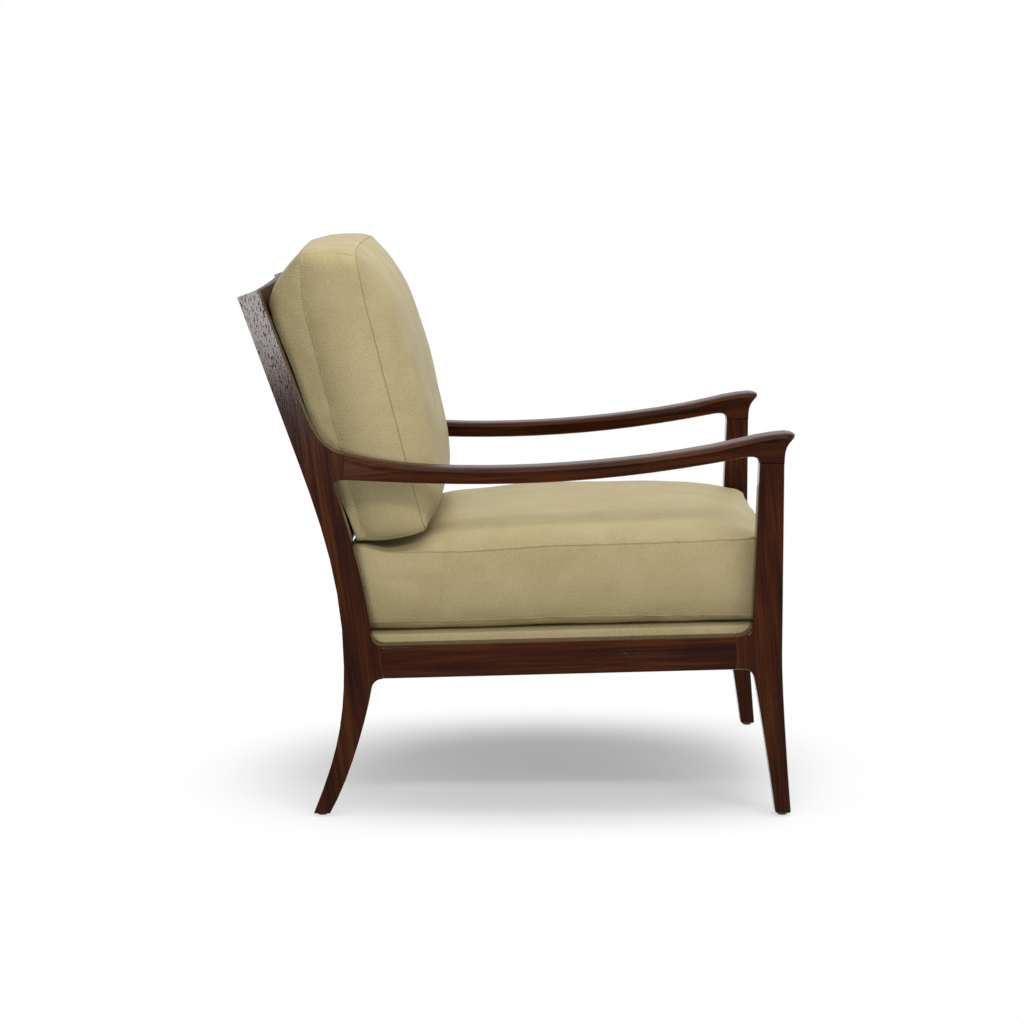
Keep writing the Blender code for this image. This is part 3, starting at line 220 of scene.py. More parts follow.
def math_node(tree, operation, *values):
    node = tree.nodes.new("ShaderNodeMath")
    node.operation = operation
    for socket, value in zip(node.inputs, values):
        feed(tree, socket, value)
    return node.outputs["Value"]


def ramp(tree, factor, stops):
    """A colour ramp's colour from (position, grey or colour) stops."""
    node = add_node(tree, "ShaderNodeValToRGB", {"Fac": factor})
    elements = node.color_ramp.elements
    while len(elements) < len(stops):
        elements.new(0.5)
    for element, (position, colour) in zip(elements, stops):
        element.position = position
        grey = isinstance(colour, float)
        element.color = (colour, colour, colour, 1.0) if grey else (*colour, 1.0)
    return node.outputs["Color"]


def noise_of(tree, place, scale, detail=2.0, distortion=0.0):
    node = add_node(tree, "ShaderNodeTexNoise", {
        "Vector": place, "Scale": scale, "Detail": detail, "Distortion": distortion})
    return node.outputs["Fac"]


def mixed(tree, blend, factor, a, b):
    """Two colours mixed. The node's colour sockets are its inputs 6 and 7 and its output 2."""
    node = add_node(tree, "ShaderNodeMix", data_type="RGBA", blend_type=blend)
    for index, value in ((0, factor), (6, a), (7, b)):
        feed(tree, node.inputs[index], value)
    return node.outputs[2]


def bumped(tree, shader, layers):
    """Stacks bump layers of (height socket, distance in metres, strength) on a shader."""
    normal = None
    for height, distance, strength in layers:
        inputs = {"Height": height, "Distance": distance, "Strength": strength}
        if normal is not None:
            inputs["Normal"] = normal
        normal = add_node(tree, "ShaderNodeBump", inputs).outputs["Normal"]
    tree.links.new(normal, shader.inputs["Normal"])


# Materials


def wood_material(name, grain, offset, tones, roughness):
    """Open-pored wood whose grain runs along a direction of the chair."""
    material, tree, shader = new_material(name)
    along = Vector(grain).rotation_difference(Vector((0, 0, 1))).to_euler()
    place = add_node(tree, "ShaderNodeTexCoord").outputs["Object"]
    turned = add_node(tree, "ShaderNodeMapping", {
        "Vector": place, "Rotation": along, "Location": offset}).outputs["Vector"]
    stretched = []
    for share in (0.045, 0.020, 0.15):
        stretched.append(add_node(tree, "ShaderNodeMapping", {
            "Vector": turned, "Scale": (1.0, 1.0, share)}).outputs["Vector"])
    bands = noise_of(tree, stretched[0], 80.0, 3.0, 0.6)
    fibres = noise_of(tree, stretched[1], 420.0, 2.0)
    pores = noise_of(tree, stretched[2], 820.0, 1.0, 0.2)
    cloud = noise_of(tree, turned, 9.0, 2.0)
    tone = math_node(tree, "ADD", math_node(tree, "MULTIPLY", bands, 0.60),
                     math_node(tree, "MULTIPLY", fibres, 0.40))
    tone = math_node(tree, "ADD", tone, math_node(tree, "MULTIPLY", cloud, 0.22))
    colour = ramp(tree, tone, ((0.44, tones[0]), (0.61, tones[1]), (0.76, tones[2])))
    open_pores = ramp(tree, pores, ((0.62, 0.0), (0.70, 1.0)))
    colour = mixed(tree, "MULTIPLY", open_pores, colour, (0.62, 0.56, 0.54, 1.0))
    tree.links.new(colour, shader.inputs["Base Color"])
    rough = math_node(tree, "MULTIPLY_ADD", fibres, 0.08, roughness - 0.04)
    tree.links.new(rough, shader.inputs["Roughness"])
    shader.inputs["Specular IOR Level"].default_value = 0.085
    bumped(tree, shader, [(bands, 0.0006, 0.08), (fibres, 0.00015, 0.20),
                          (math_node(tree, "SUBTRACT", 1.0, open_pores), 0.00040, 0.60)])
    return material


def leather_material(name):
    """Khaki leather: pebbled grain, soft sheen, painted shade between pebbles and in seam grooves.
    """
    material, tree, shader = new_material(name)
    place = add_node(tree, "ShaderNodeTexCoord").outputs["Object"]
    wander = add_node(tree, "ShaderNodeTexNoise", {
        "Vector": place, "Scale": 210.0, "Detail": 2.0}).outputs["Color"]
    warped = add_node(tree, "ShaderNodeVectorMath", {0: wander, 1: (0.0036, 0.0036, 0.0036)},
                      operation="MULTIPLY").outputs["Vector"]
    warped = add_node(tree, "ShaderNodeVectorMath", {0: place, 1: warped},
                      operation="ADD").outputs["Vector"]
    cells = add_node(tree, "ShaderNodeTexVoronoi", {
        "Vector": warped, "Scale": 450.0, "Smoothness": 0.35}, feature="SMOOTH_F1")
    pebbles = math_node(tree, "SUBTRACT", 1.0, cells.outputs["Distance"])
    pores = noise_of(tree, place, 1500.0, 1.0)
    wrinkles = noise_of(tree, warped, 210.0, 3.0, 1.2)
    patches = noise_of(tree, place, 14.0, 3.0, 0.4)
    tone = math_node(tree, "ADD", math_node(tree, "MULTIPLY", patches, 0.7),
                     math_node(tree, "MULTIPLY", wrinkles, 0.3))
    colour = ramp(tree, tone, ((0.30, (0.425, 0.350, 0.176)), (0.50, (0.470, 0.392, 0.206)),
                               (0.70, (0.510, 0.430, 0.238))))
    # Painted shade: the colour darkens in the valleys between the pebbles.
    pebble_valley_shade = ramp(tree, pebbles, ((0.35, 0.78), (0.62, 1.0)))
    colour = mixed(tree, "MULTIPLY", 0.40, colour, pebble_valley_shade)
    # Painted shade: the seams' grooves are darkened through the seam attribute.
    seam = add_node(tree, "ShaderNodeAttribute", attribute_name="seam").outputs["Fac"]
    colour = mixed(tree, "MULTIPLY", seam, colour, (0.58, 0.52, 0.42, 1.0))
    tree.links.new(colour, shader.inputs["Base Color"])
    rough = math_node(tree, "MULTIPLY_ADD", pores, 0.16, 0.36)
    tree.links.new(rough, shader.inputs["Roughness"])
    shader.inputs["Specular IOR Level"].default_value = 0.08
    shader.inputs["Sheen Weight"].default_value = 0.05
    shader.inputs["Sheen Roughness"].default_value = 0.45
    bumped(tree, shader, [(wrinkles, 0.0012, 0.22), (pebbles, 0.0010, 0.66),
                          (pores, 0.0002, 0.40)])
    return material


def thread_material():
    """Twisted sewing thread, a little darker than the leather."""
    material, tree, shader = new_material("stitching_thread")
    place = add_node(tree, "ShaderNodeTexCoord").outputs["Object"]
    twist = noise_of(tree, place, 2600.0, 1.0)
    colour = ramp(tree, twist, ((0.35, (0.46, 0.41, 0.26)), (0.65, (0.68, 0.63, 0.45))))
    tree.links.new(colour, shader.inputs["Base Color"])
    shader.inputs["Roughness"].default_value = 0.7
    bumped(tree, shader, [(twist, 0.0001, 0.6)])
    return material


def woven_material(name, dark, light, scale=620.0):
    """Plain-woven tape or cloth: two crossing sets of threads."""
    material, tree, shader = new_material(name)
    place = add_node(tree, "ShaderNodeTexCoord").outputs["Object"]
    sets = []
    for direction in ("X", "Y"):
        sets.append(add_node(tree, "ShaderNodeTexWave", {
            "Vector": place, "Scale": scale / 6.28, "Distortion": 0.6, "Detail": 1.0,
            "Detail Scale": 4.0}, bands_direction=direction).outputs["Fac"])
    weave = math_node(tree, "MULTIPLY", sets[0], sets[1])
    worn = noise_of(tree, place, 40.0, 3.0)
    tone = math_node(tree, "ADD", math_node(tree, "MULTIPLY", weave, 0.7),
                     math_node(tree, "MULTIPLY", worn, 0.3))
    tree.links.new(ramp(tree, tone, ((0.15, dark), (0.75, light))), shader.inputs["Base Color"])
    shader.inputs["Roughness"].default_value = 0.85
    bumped(tree, shader, [(weave, 0.0003, 0.7)])
    return material


def speckled_material(name, dark, light, roughness, metallic=0.0, scale=500.0, depth=0.0001):
    """A plain solid finish with fine specks: foam, plastic, zinc and brass."""
    material, tree, shader = new_material(name)
    place = add_node(tree, "ShaderNodeTexCoord").outputs["Object"]
    specks = noise_of(tree, place, scale, 3.0)
    tree.links.new(ramp(tree, specks, ((0.35, dark), (0.65, light))), shader.inputs["Base Color"])
    rough = math_node(tree, "MULTIPLY_ADD", specks, 0.2, roughness - 0.1)
    tree.links.new(rough, shader.inputs["Roughness"])
    shader.inputs["Metallic"].default_value = metallic
    bumped(tree, shader, [(specks, depth, 0.5)])
    return material


DARK_TONES = ((0.0150, 0.0018, 0.0001), (0.0390, 0.0070, 0.0003), (0.0760, 0.0190, 0.0020))
PALE_TONES = ((0.36, 0.22, 0.11), (0.48, 0.33, 0.19), (0.58, 0.43, 0.27))

leather = leather_material("leather")
thread = thread_material()
zip_tape = woven_material("zip_tape", (0.09, 0.08, 0.05), (0.21, 0.19, 0.13))
webbing = woven_material("webbing", (0.030, 0.026, 0.022), (0.16, 0.14, 0.11), 420.0)
cambric = woven_material("cambric", (0.010, 0.010, 0.010), (0.035, 0.034, 0.032), 900.0)
foam = speckled_material("foam", (0.66, 0.62, 0.48), (0.85, 0.82, 0.70), 0.9, depth=0.0006)
steel = speckled_material("screw_steel", (0.42, 0.41, 0.37), (0.60, 0.58, 0.52), 0.38, 1.0)
brass = speckled_material("zip_brass", (0.33, 0.23, 0.08), (0.52, 0.39, 0.15), 0.34, 1.0)
glide_plastic = speckled_material("glide_plastic", (0.016, 0.013, 0.011), (0.040, 0.034, 0.028),
                                  0.48)


# Wooden pieces and hidden hardware: the CAD solids, welded and shaded smoothly


def smooth_copy(node):
    """A copy of a CAD solid whose facets are shaded as the round or flat faces they stand for."""
    source = frame["nodes"][node]
    mesh = bpy.data.meshes.new(f"{node}_finish")
    bm = bmesh.new()
    bm.from_mesh(source.data)
    bmesh.ops.remove_doubles(bm, verts=bm.verts, dist=WELD_DISTANCE)
    level = math.radians(FLAT_DEGREES)
    flat = [e for e in bm.edges if e.is_manifold and e.calc_face_angle() < level]
    bmesh.ops.dissolve_edges(bm, edges=flat, use_verts=False)
    for face in bm.faces:
        face.smooth = True
    for edge in bm.edges:
        edge.smooth = edge.calc_face_angle(0.0) < math.radians(SHARP_DEGREES)
    bm.to_mesh(mesh)
    bm.free()
    piece = bpy.data.objects.new(f"{node}_finish", mesh)
    bpy.context.scene.collection.objects.link(piece)
    weighted = piece.modifiers.new("weighted_normals", "WEIGHTED_NORMAL")
    weighted.keep_sharp = True
    return piece


def stand_for(piece, node, body):
    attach(piece, body)
    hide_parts(node)


def grain_of(node):
    """The direction in which a wooden piece is longest, along which its grain runs."""
    points = np.array([v.co for v in frame["nodes"][node].data.vertices])
    spread = np.linalg.svd(points - points.mean(0), full_matrices=False)[2][0]
    return Vector([float(v) for v in spread])


def roughness_of(node, slot):
    """The legs and rails are polished, the arms and the back less so, and hidden wood is raw."""
    if slot == "pale_wood":
        return RAW_WOOD_ROUGHNESS
    if node.endswith("_arm"):
        return ARM_ROUGHNESS
    return BACK_ROUGHNESS if node.startswith(("crest", "back")) else POLISHED


def finish_wood():
    """Gives each wooden piece its own board: grain along its length, and its own figure."""
    dark = ["front_rail", "rear_rail", "crest_rail", "lower_back_rail"]
    dark += [f"back_slat_{i}" for i in range(1, 8)]
    pale = [f"{side}_deck_batten" for side in ("front", "rear", "left", "right")]
    for side in ("left", "right"):
        dark += [f"{side}_front_leg", f"{side}_rear_leg", f"{side}_arm", f"{side}_side_rail"]
        pale += [f"{side}_arm_front_dowel", f"{side}_arm_rear_dowel"]
        pale += [f"front_{side}_corner_block", f"rear_{side}_corner_block"]
    for tones, slot, nodes in ((DARK_TONES, "dark_wood", dark), (PALE_TONES, "pale_wood", pale)):
        for index, node in enumerate(nodes):
            piece = smooth_copy(node)
            offset = tuple(index * step for step in BOARD_OFFSET)
            board = wood_material(f"{slot}_{node}", grain_of(node), offset, tones,
                                  roughness_of(node, slot))
            piece.data.materials.append(board)
            stand_for(piece, node, "frame")


def finish_hardware():
    """Screws, straps, pads and glides, most of which lie inside the seat."""
    groups = [
        (steel, "screw_steel", [f"{end}_{side}_{kind}_screw" for end in ("front", "rear")
                                for side in ("left", "right") for kind in ("block", "deck")]),
        (webbing, "webbing", [f"webbing_strap_{i}" for i in range(1, 7)]),
        (foam, "foam", ["deck_pad"]),
        (cambric, "cambric", ["dust_cover"]),
        (leather, "leather", ["deck_cover"]),
        (glide_plastic, "glide_plastic", [f"{side}_{end}_glide" for side in ("left", "right")
                                          for end in ("front", "rear")]),
    ]
    for material, slot, nodes in groups:
        for node in nodes:
            piece = smooth_copy(node)
            piece.data.materials.append(material)
            stand_for(piece, node, "frame")


# Where the cushions rest

SEAT_AXES = (np.array(Euler((-SEAT_PITCH, 0.0, 0.0)).to_matrix()), np.array(SEAT_ORIGIN))
BACK_AXES = (np.array(Euler((math.pi / 2 - BACK_LEAN, 0.0, 0.0)).to_matrix()), np.array(BACK_FOOT))
BACK_UP = np.array(next(j["axis"] for j in frame["joints"] if j["name"] == "back_cushion_lift"))
BACK_OUT = np.array((0.0, -BACK_UP[2], BACK_UP[1]))
BACK_PLANE = max(BACK_OUT @ np.array(v.co) for v in frame["nodes"]["crest_rail"].data.vertices)


# Cushion shells: two panels and a boxing between them, on one grid


def even_lines(half, step):
    """Positions from -half to half at even distances of about a step."""
    count = 2 * math.ceil(half / step)
    return np.linspace(-half, half, count + 1)


def lines_with_seams(half, step):
    """Even positions, with the seam's own lines near both ends."""
    offsets = [distance for distance, _ in SEAM_LINES]
    inner = half - offsets[-1] - step * CLEAR_OF_SEAM
    middle = even_lines(inner, step)
    edge = np.array([half - d for d in offsets])
    return np.concatenate((-edge, middle, edge[::-1]))


def side_lines(height, step, extra):
    """Shares of the boxing's height from 0 to 1, with the seams' lines and any extra ones."""
    lines = (lines_with_seams(height / 2, step) + height / 2) / height
    clear = CLEAR_OF_LINE * step / height
    lines = [v for v in lines if all(abs(v - e) > clear for e in extra)]
    return np.array(sorted(lines + list(extra)))


class Shell:
    """The grid of a boxed cushion: which vertex lies where, as flat lists of coordinates."""

    def __init__(self, xs, ys, ts, corners, side_height):
        self.xs, self.ys, self.ts, self.corners = xs, ys, ts, corners
        self.side_height = side_height
        nx, ny = len(xs), len(ys)
        grid = np.arange(nx * ny).reshape(nx, ny)
        loop = [(i, 0) for i in range(nx)] + [(nx - 1, j) for j in range(1, ny)]
        loop += [(i, ny - 1) for i in range(nx - 2, -1, -1)]
        loop += [(0, j) for j in range(ny - 2, 0, -1)]
        self.loop = loop
        rim = np.array([grid[i, j] for i, j in loop])
        self.low, self.high = grid, grid + nx * ny
        rows = [rim]
        for row in range(len(ts) - 2):
            rows.append(2 * nx * ny + row * len(rim) + np.arange(len(rim)))
        rows.append(rim + nx * ny)
        self.rows = rows
        x, y = np.meshgrid(xs, ys, indexing="ij")
        x, y, nrm_x, nrm_y = self.rounded(x, y)
        flat = [a.ravel() for a in (x, y, nrm_x, nrm_y)]
        side = [a[rim] for a in flat]
        gap = np.hypot(xs[-1] - np.abs(xs)[:, None], ys[-1] - np.abs(ys)[None, :]).ravel()
        count = len(ts) - 2
        self.x, self.y, self.normal_x, self.normal_y = (
            np.concatenate((a, a, np.tile(b, count))) for a, b in zip(flat, side))
        ones = np.ones(nx * ny)
        self.t = np.concatenate((0 * ones, ones, np.repeat(ts[1:-1], len(rim))))
        self.panel = np.concatenate((-ones, ones, np.zeros(count * len(rim))))
        self.corner_gap = np.concatenate((gap, gap, np.tile(gap[rim], count)))

    def rounded(self, x, y):
        """Bends the grid's corners onto the outline's arcs, and gives the outline's normals."""
        half_x, half_y = self.xs[-1], self.ys[-1]
        r = np.where(y > 0, self.corners[1], self.corners[0])
        over_x, over_y = np.abs(x) - (half_x - r), np.abs(y) - (half_y - r)
        inside = (over_x > 0) & (over_y > 0)
        reach = np.hypot(over_x, over_y)
        share = np.where(inside, np.maximum(over_x, over_y) / np.maximum(reach, 1e-9), 1.0)
        new_x = np.sign(x) * np.where(inside, half_x - r + over_x * share, np.abs(x))
        new_y = np.sign(y) * np.where(inside, half_y - r + over_y * share, np.abs(y))
        side = over_x - over_y > 0
        nrm_x = np.where(inside, over_x / np.maximum(reach, 1e-9), np.where(side, 1.0, 0.0))
        nrm_y = np.where(inside, over_y / np.maximum(reach, 1e-9), np.where(side, 0.0, 1.0))
        return new_x, new_y, np.sign(x) * nrm_x, np.sign(y) * nrm_y

    def faces(self, skip=lambda row, column: False):
        found = []
        for grid, flip in ((self.low, True), (self.high, False)):
            a, b, c, d = grid[:-1, :-1], grid[1:, :-1], grid[1:, 1:], grid[:-1, 1:]
            quads = np.stack((a, b, c, d), -1).reshape(-1, 4)
            found += (quads[:, ::-1] if flip else quads).tolist()
        count = len(self.loop)
        for index, (low, high) in enumerate(zip(self.rows, self.rows[1:])):
            for i in range(count):
                j = (i + 1) % count
                if not skip(index, i):
                    found.append([int(low[i]), int(low[j]), int(high[j]), int(high[i])])
        return found

    def resampled(self, other, values):
        """Another shell's values at this shell's vertices, by linear interpolation."""
        result = np.zeros((len(self.x), values.shape[1]))
        for mine, theirs in ((self.low, other.low), (self.high, other.high)):
            patch = values[theirs]
            along = np.stack([[np.interp(self.xs, other.xs, patch[:, j, k])
                               for j in range(patch.shape[1])] for k in range(values.shape[1])], -1)
            patch = np.stack([[np.interp(self.ys, other.ys, along[:, i, k])
                               for i in range(along.shape[1])] for k in range(values.shape[1])], -1)
            result[mine] = patch
        theirs_at, mine_at = other.rim_lengths(), self.rim_lengths()
        theirs_at = np.append(theirs_at, 1.0)
        rows = []
        for row in other.rows:
            ring = np.vstack((values[row], values[row][:1]))
            rows.append(np.stack([np.interp(mine_at, theirs_at, ring[:, k])
                                  for k in range(values.shape[1])], -1))
        rows = np.array(rows)
        for index, t in enumerate(self.ts[1:-1], 1):
            for k in range(values.shape[1]):
                column = np.array([np.interp(t, other.ts, rows[:, i, k])
                                   for i in range(rows.shape[1])])
                result[self.rows[index], k] = column
        return result

    def rim_lengths(self):
        """How far round the rim each of its vertices lies, as a share."""
        flat = np.array([(self.xs[i], self.ys[j]) for i, j in self.loop])
        steps = np.abs(np.roll(flat, -1, 0) - flat).sum(1)
        return np.concatenate(([0.0], np.cumsum(steps)[:-1])) / steps.sum()


def smooth_step(share):
    share = np.clip(share, 0.0, 1.0)
    return share * share * (3 - 2 * share)


def rise(value, start, span):
    """0 up to the start, and 1 from a span further on."""
    return smooth_step((value - start) / span)


def soft_max(a, b, softness):
    return (a + b + np.hypot(a - b, softness)) / 2


def crown_share(s, dome=CROWN_DOME, power=CROWN_POWER):
    s = np.minimum(np.abs(s), 1.0)
    return 1 - dome * s**2 - (1 - dome) * s**power


def boxing_bulge(shell):
    """How far the boxing swells: fully rounded at the sides, flatter where the zip is sewn in."""
    across = (2 * shell.t - 1) ** 2
    flat = BOX_BULGE * (1 - across**2)
    swell = flat + (SIDE_BULGE * (1 - across)**SIDE_BULGE_POWER - flat) * shell.normal_x**2
    return np.where(shell.panel == 0, swell, 0.0)


def placed(points, frame_axes):
    turn, origin = frame_axes
    return points @ turn.T + origin


def local_to(points, frame_axes):
    turn, origin = frame_axes
    return (points - origin) @ turn


def seat_fullness(forward):
    return SEAT_SUNK_SHARE + (1 - SEAT_SUNK_SHARE) * rise(forward, *SEAT_FULL_FROM)


def seat_press(forward):
    return SEAT_PRESS * (1 - rise(forward, *SEAT_PRESS_UNTIL))


def seat_points(shell):
    """The seat cushion's shape in the chair's coordinates."""
    half_x, half_y = SEAT_HALF
    forward = shell.y + SEAT_FRONT - half_y
    z = SEAT_BOTTOM + SEAT_UNDER_ROUND + (SEAT_BOX_HEIGHT - seat_press(forward)) * shell.t
    crown = crown_share(shell.x / half_x) * crown_share(shell.y / half_y)
    under = (crown_share(shell.x / half_x, 0.0, SEAT_UNDER_POWER)
             * crown_share(shell.y / half_y, 0.0, SEAT_UNDER_POWER))
    z = z + np.where(shell.panel > 0, SEAT_CROWN * seat_fullness(forward) * crown, 0.0)
    z = z - np.where(shell.panel < 0, SEAT_UNDER_ROUND * under, 0.0)
    lift = rise(np.abs(shell.x), *SEAT_LIFT_BESIDE) * rise(-forward, *SEAT_LIFT_BEHIND)
    z = z + SEAT_REAR_CORNER_LIFT * lift * shell.t
    bulge = boxing_bulge(shell)
    local = np.stack((shell.x + shell.normal_x * bulge, -(forward + shell.normal_y * bulge), z), -1)
    return placed(local, SEAT_AXES)


def seat_height_at(x, forward):
    """Height of the seat cushion's top in the seat's axes."""
    half_x, half_y = SEAT_HALF
    scale = np.maximum(np.abs(x) / half_x, np.abs(forward - SEAT_FRONT + half_y) / half_y)
    seam = SEAT_BOTTOM + SEAT_UNDER_ROUND + SEAT_BOX_HEIGHT - seat_press(forward)
    return seam + SEAT_CROWN * crown_share(scale) * seat_fullness(forward)


def back_points(shell):
    """The back cushion's shape, where it leans on the rails and stands on the seat cushion."""
    half_x, half_y = BACK_HALF
    share = (shell.y / half_y + 1) / 2
    near_top = np.clip((share - BACK_NARROWING_START) / (1 - BACK_NARROWING_START), 0.0, 1.0)
    narrowing = near_top**2
    x, y = shell.x / half_x, shell.y / half_y
    crown = BACK_FRONT_CROWN * crown_share(x) * crown_share(y)
    power_up = np.where(y < 0, *BACK_REAR_POWERS_UP)
    hollow = (BACK_REAR_CROWN * crown_share(x, 0.0, BACK_REAR_POWER_ACROSS)
              * crown_share(y, 0.0, power_up))
    depth = np.where(shell.panel > 0, crown, np.where(shell.panel < 0, -hollow, 0.0))
    bulge = boxing_bulge(shell)
    shift = BACK_TOP_NARROWING + (BACK_TOP_SHIFT - BACK_TOP_NARROWING) * shell.t
    drop = shell.t * (BACK_FOOT_DROP + (BACK_TOP_DROP - BACK_FOOT_DROP) * share)
    rise = BACK_TOP_BOW * narrowing * (1 - x**2)
    out = BACK_BOX_THICKNESS * shell.t + depth * (1 - BACK_TOP_FLATNESS * narrowing)
    bent = np.stack((shell.x + shell.normal_x * bulge,
                     shell.y + half_y + shell.normal_y * bulge - drop + rise,
                     out + shift * narrowing), -1)
    local = local_to(lean_on_rails(placed(bent, BACK_AXES)), SEAT_AXES)
    spread = smooth_step((np.abs(shell.x) - half_x) / BACK_REST_INSET + 1)
    rest = seat_height_at(np.abs(shell.x) * spread, -local[:, 1])
    local[:, 2] = soft_max(local[:, 2], rest, SEAT_REST_SOFTNESS)
    points = placed(local, SEAT_AXES)
    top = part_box("back_cushion_cover")[1][2] + BACK_TOP_SETTLES
    return points + BACK_UP * ((top - points[:, 2].max()) / BACK_UP[2])


# Simulation: pressure swells each shell, and the seams draw it in


def mesh_object(name, points, faces):
    mesh = bpy.data.meshes.new(name)
    mesh.from_pydata([tuple(map(float, p)) for p in points], [], faces)
    mesh.update()
    item = bpy.data.objects.new(name, mesh)
    bpy.context.scene.collection.objects.link(item)
    return item


def vertex_normals(points, faces):
    quads = np.array(faces)
    corners = points[quads]
    across = np.cross(corners[:, 2] - corners[:, 0], corners[:, 3] - corners[:, 1])
    normals = np.zeros_like(points)
    for k in range(4):
        np.add.at(normals, quads[:, k], across)
    return normals / np.maximum(np.linalg.norm(normals, axis=1, keepdims=True), 1e-12)


def simulated_shift(name, shell, points):
    """How the skin moves when the cushion is blown up inside it, up to a cap."""
    faces = shell.faces()
    start = points - vertex_normals(points, faces) * SIM_START_INSET
    item = mesh_object(f"{name}_simulated", start, faces)
    seam = item.vertex_groups.new(name="seam")
    seam.add(sorted({int(v) for row in (shell.rows[0], shell.rows[-1]) for v in row}), 1.0, "ADD")
    cloth = item.modifiers.new("cloth", "CLOTH")
    for key, value in CLOTH_SETTINGS.items():
        setattr(cloth.settings, key, value)
    cloth.settings.effector_weights.gravity = 0.0
    cloth.collision_settings.use_collision = False
    scene = bpy.context.scene
    for number in range(1, SIM_FRAMES + 1):
        scene.frame_set(number)
    evaluated = item.evaluated_get(bpy.context.evaluated_depsgraph_get())
    after = np.array([v.co for v in evaluated.data.vertices])
    bpy.data.objects.remove(item)
    scene.frame_set(1)
    shift = after - start
    size = np.linalg.norm(shift, axis=1, keepdims=True)
    shift = shift * (SIM_CAP * np.tanh(size / SIM_CAP) / np.maximum(size, 1e-9))
    return shift + start - points


# Finished cushions


def seam_profile(shell, corner_seams):
    """For each vertex, how far the seam's groove and lips move it, and its painted groove shade."""
    offsets = np.array([d for d, _ in SEAM_LINES] + [SEAM_REACH])
    heights = np.array([h for _, h in SEAM_LINES] + [0.0])
    edge = np.minimum(shell.xs[-1] - np.abs(shell.x), shell.ys[-1] - np.abs(shell.y))
    half_x, half_y = shell.xs[-1], shell.ys[-1]
    r = np.where(shell.y > 0, shell.corners[1], shell.corners[0])
    over = np.hypot(np.maximum(np.abs(shell.x) - half_x + r, 0),
                    np.maximum(np.abs(shell.y) - half_y + r, 0))
    edge = np.minimum(edge, np.where(over > 0, r - over, edge))
    along_side = np.minimum(shell.t, 1 - shell.t) * shell.side_height
    if corner_seams:
        along_side = np.minimum(along_side, shell.corner_gap)
    distance = np.where(shell.panel == 0, along_side, np.maximum(edge, 0.0))
    # Lower seams get a shallower groove and a paler painted shade.
    low = (shell.panel < 0) | ((shell.panel == 0) & (shell.t < 0.5))
    depth = np.where(low, LOW_SEAM_SHARE, 1.0)
    painted_seam_shade = np.interp(distance, (0.0, SEAM_SHADE_WIDTH), (1.0, 0.0))
    return np.interp(distance, offsets, heights) * depth, painted_seam_shade * depth


def puckered(points, normals, distance, seed):
    """Small puckers that run out from the seams, made from steady noise."""
    moved = points.copy()
    for index, near in enumerate(distance):
        if near < PUCKER_REACH:
            place = Vector(points[index] * PUCKER_SCALE) + Vector((seed, 0.0, 0.0))
            fold = noise.noise(place) * math.exp(-near / PUCKER_FADE)
            moved[index] += normals[index] * (PUCKER_SIZE * fold)
    return moved


def broad_unevenness(points, normals, seed):
    """Slow waves of the filling that show through the skin."""
    start = Vector((seed, WAVE_SEED, 0.0))
    waves = [noise.noise(Vector(p * WAVE_SCALE) + start) for p in points]
    return points + normals * (WAVE_SIZE * np.array(waves))[:, None]


def seam_distance(shell):
    edge = np.minimum(shell.xs[-1] - np.abs(shell.x), shell.ys[-1] - np.abs(shell.y))
    side = np.minimum(shell.t, 1 - shell.t) * shell.side_height
    return np.where(shell.panel == 0, side, np.maximum(edge, 0.0))


def cushion_shells(half, corners, height):
    """A plain shell to simulate and a fine one for the finished cushion, with lines at the zip."""
    coarse = Shell(even_lines(half[0], SIM_STEP), even_lines(half[1], SIM_STEP),
                   np.linspace(0, 1, math.ceil(height / SIM_STEP) + 1), corners, height)
    xs = lines_with_seams(half[0], SHAPE_STEP)
    near = [int(np.argmin(np.abs(xs - s * ZIP_HALF_LENGTH))) for s in (-1, 1)]
    for index, s in zip(near, (-1, 1)):
        xs[index] = s * ZIP_HALF_LENGTH
    slit = ZIP_HALF_SLIT / height
    ts = side_lines(height, SHAPE_STEP, [0.5 - slit, 0.5 + slit])
    return coarse, Shell(xs, lines_with_seams(half[1], SHAPE_STEP), ts, corners, height)


def in_slit(shell):
    """Says which faces of the boxing lie inside the zip's slit, on the side where y is least."""
    share = ZIP_HALF_SLIT / shell.side_height + 1e-6

    def skip(row, column):
        i, j = shell.loop[column]
        after = shell.loop[(column + 1) % len(shell.loop)]
        if j != 0 or after[1] != 0:
            return False
        middle = (shell.xs[i] + shell.xs[after[0]]) / 2
        level = (shell.ts[row] + shell.ts[row + 1]) / 2
        return abs(middle) < ZIP_HALF_LENGTH and abs(level - 0.5) < share

    return skip


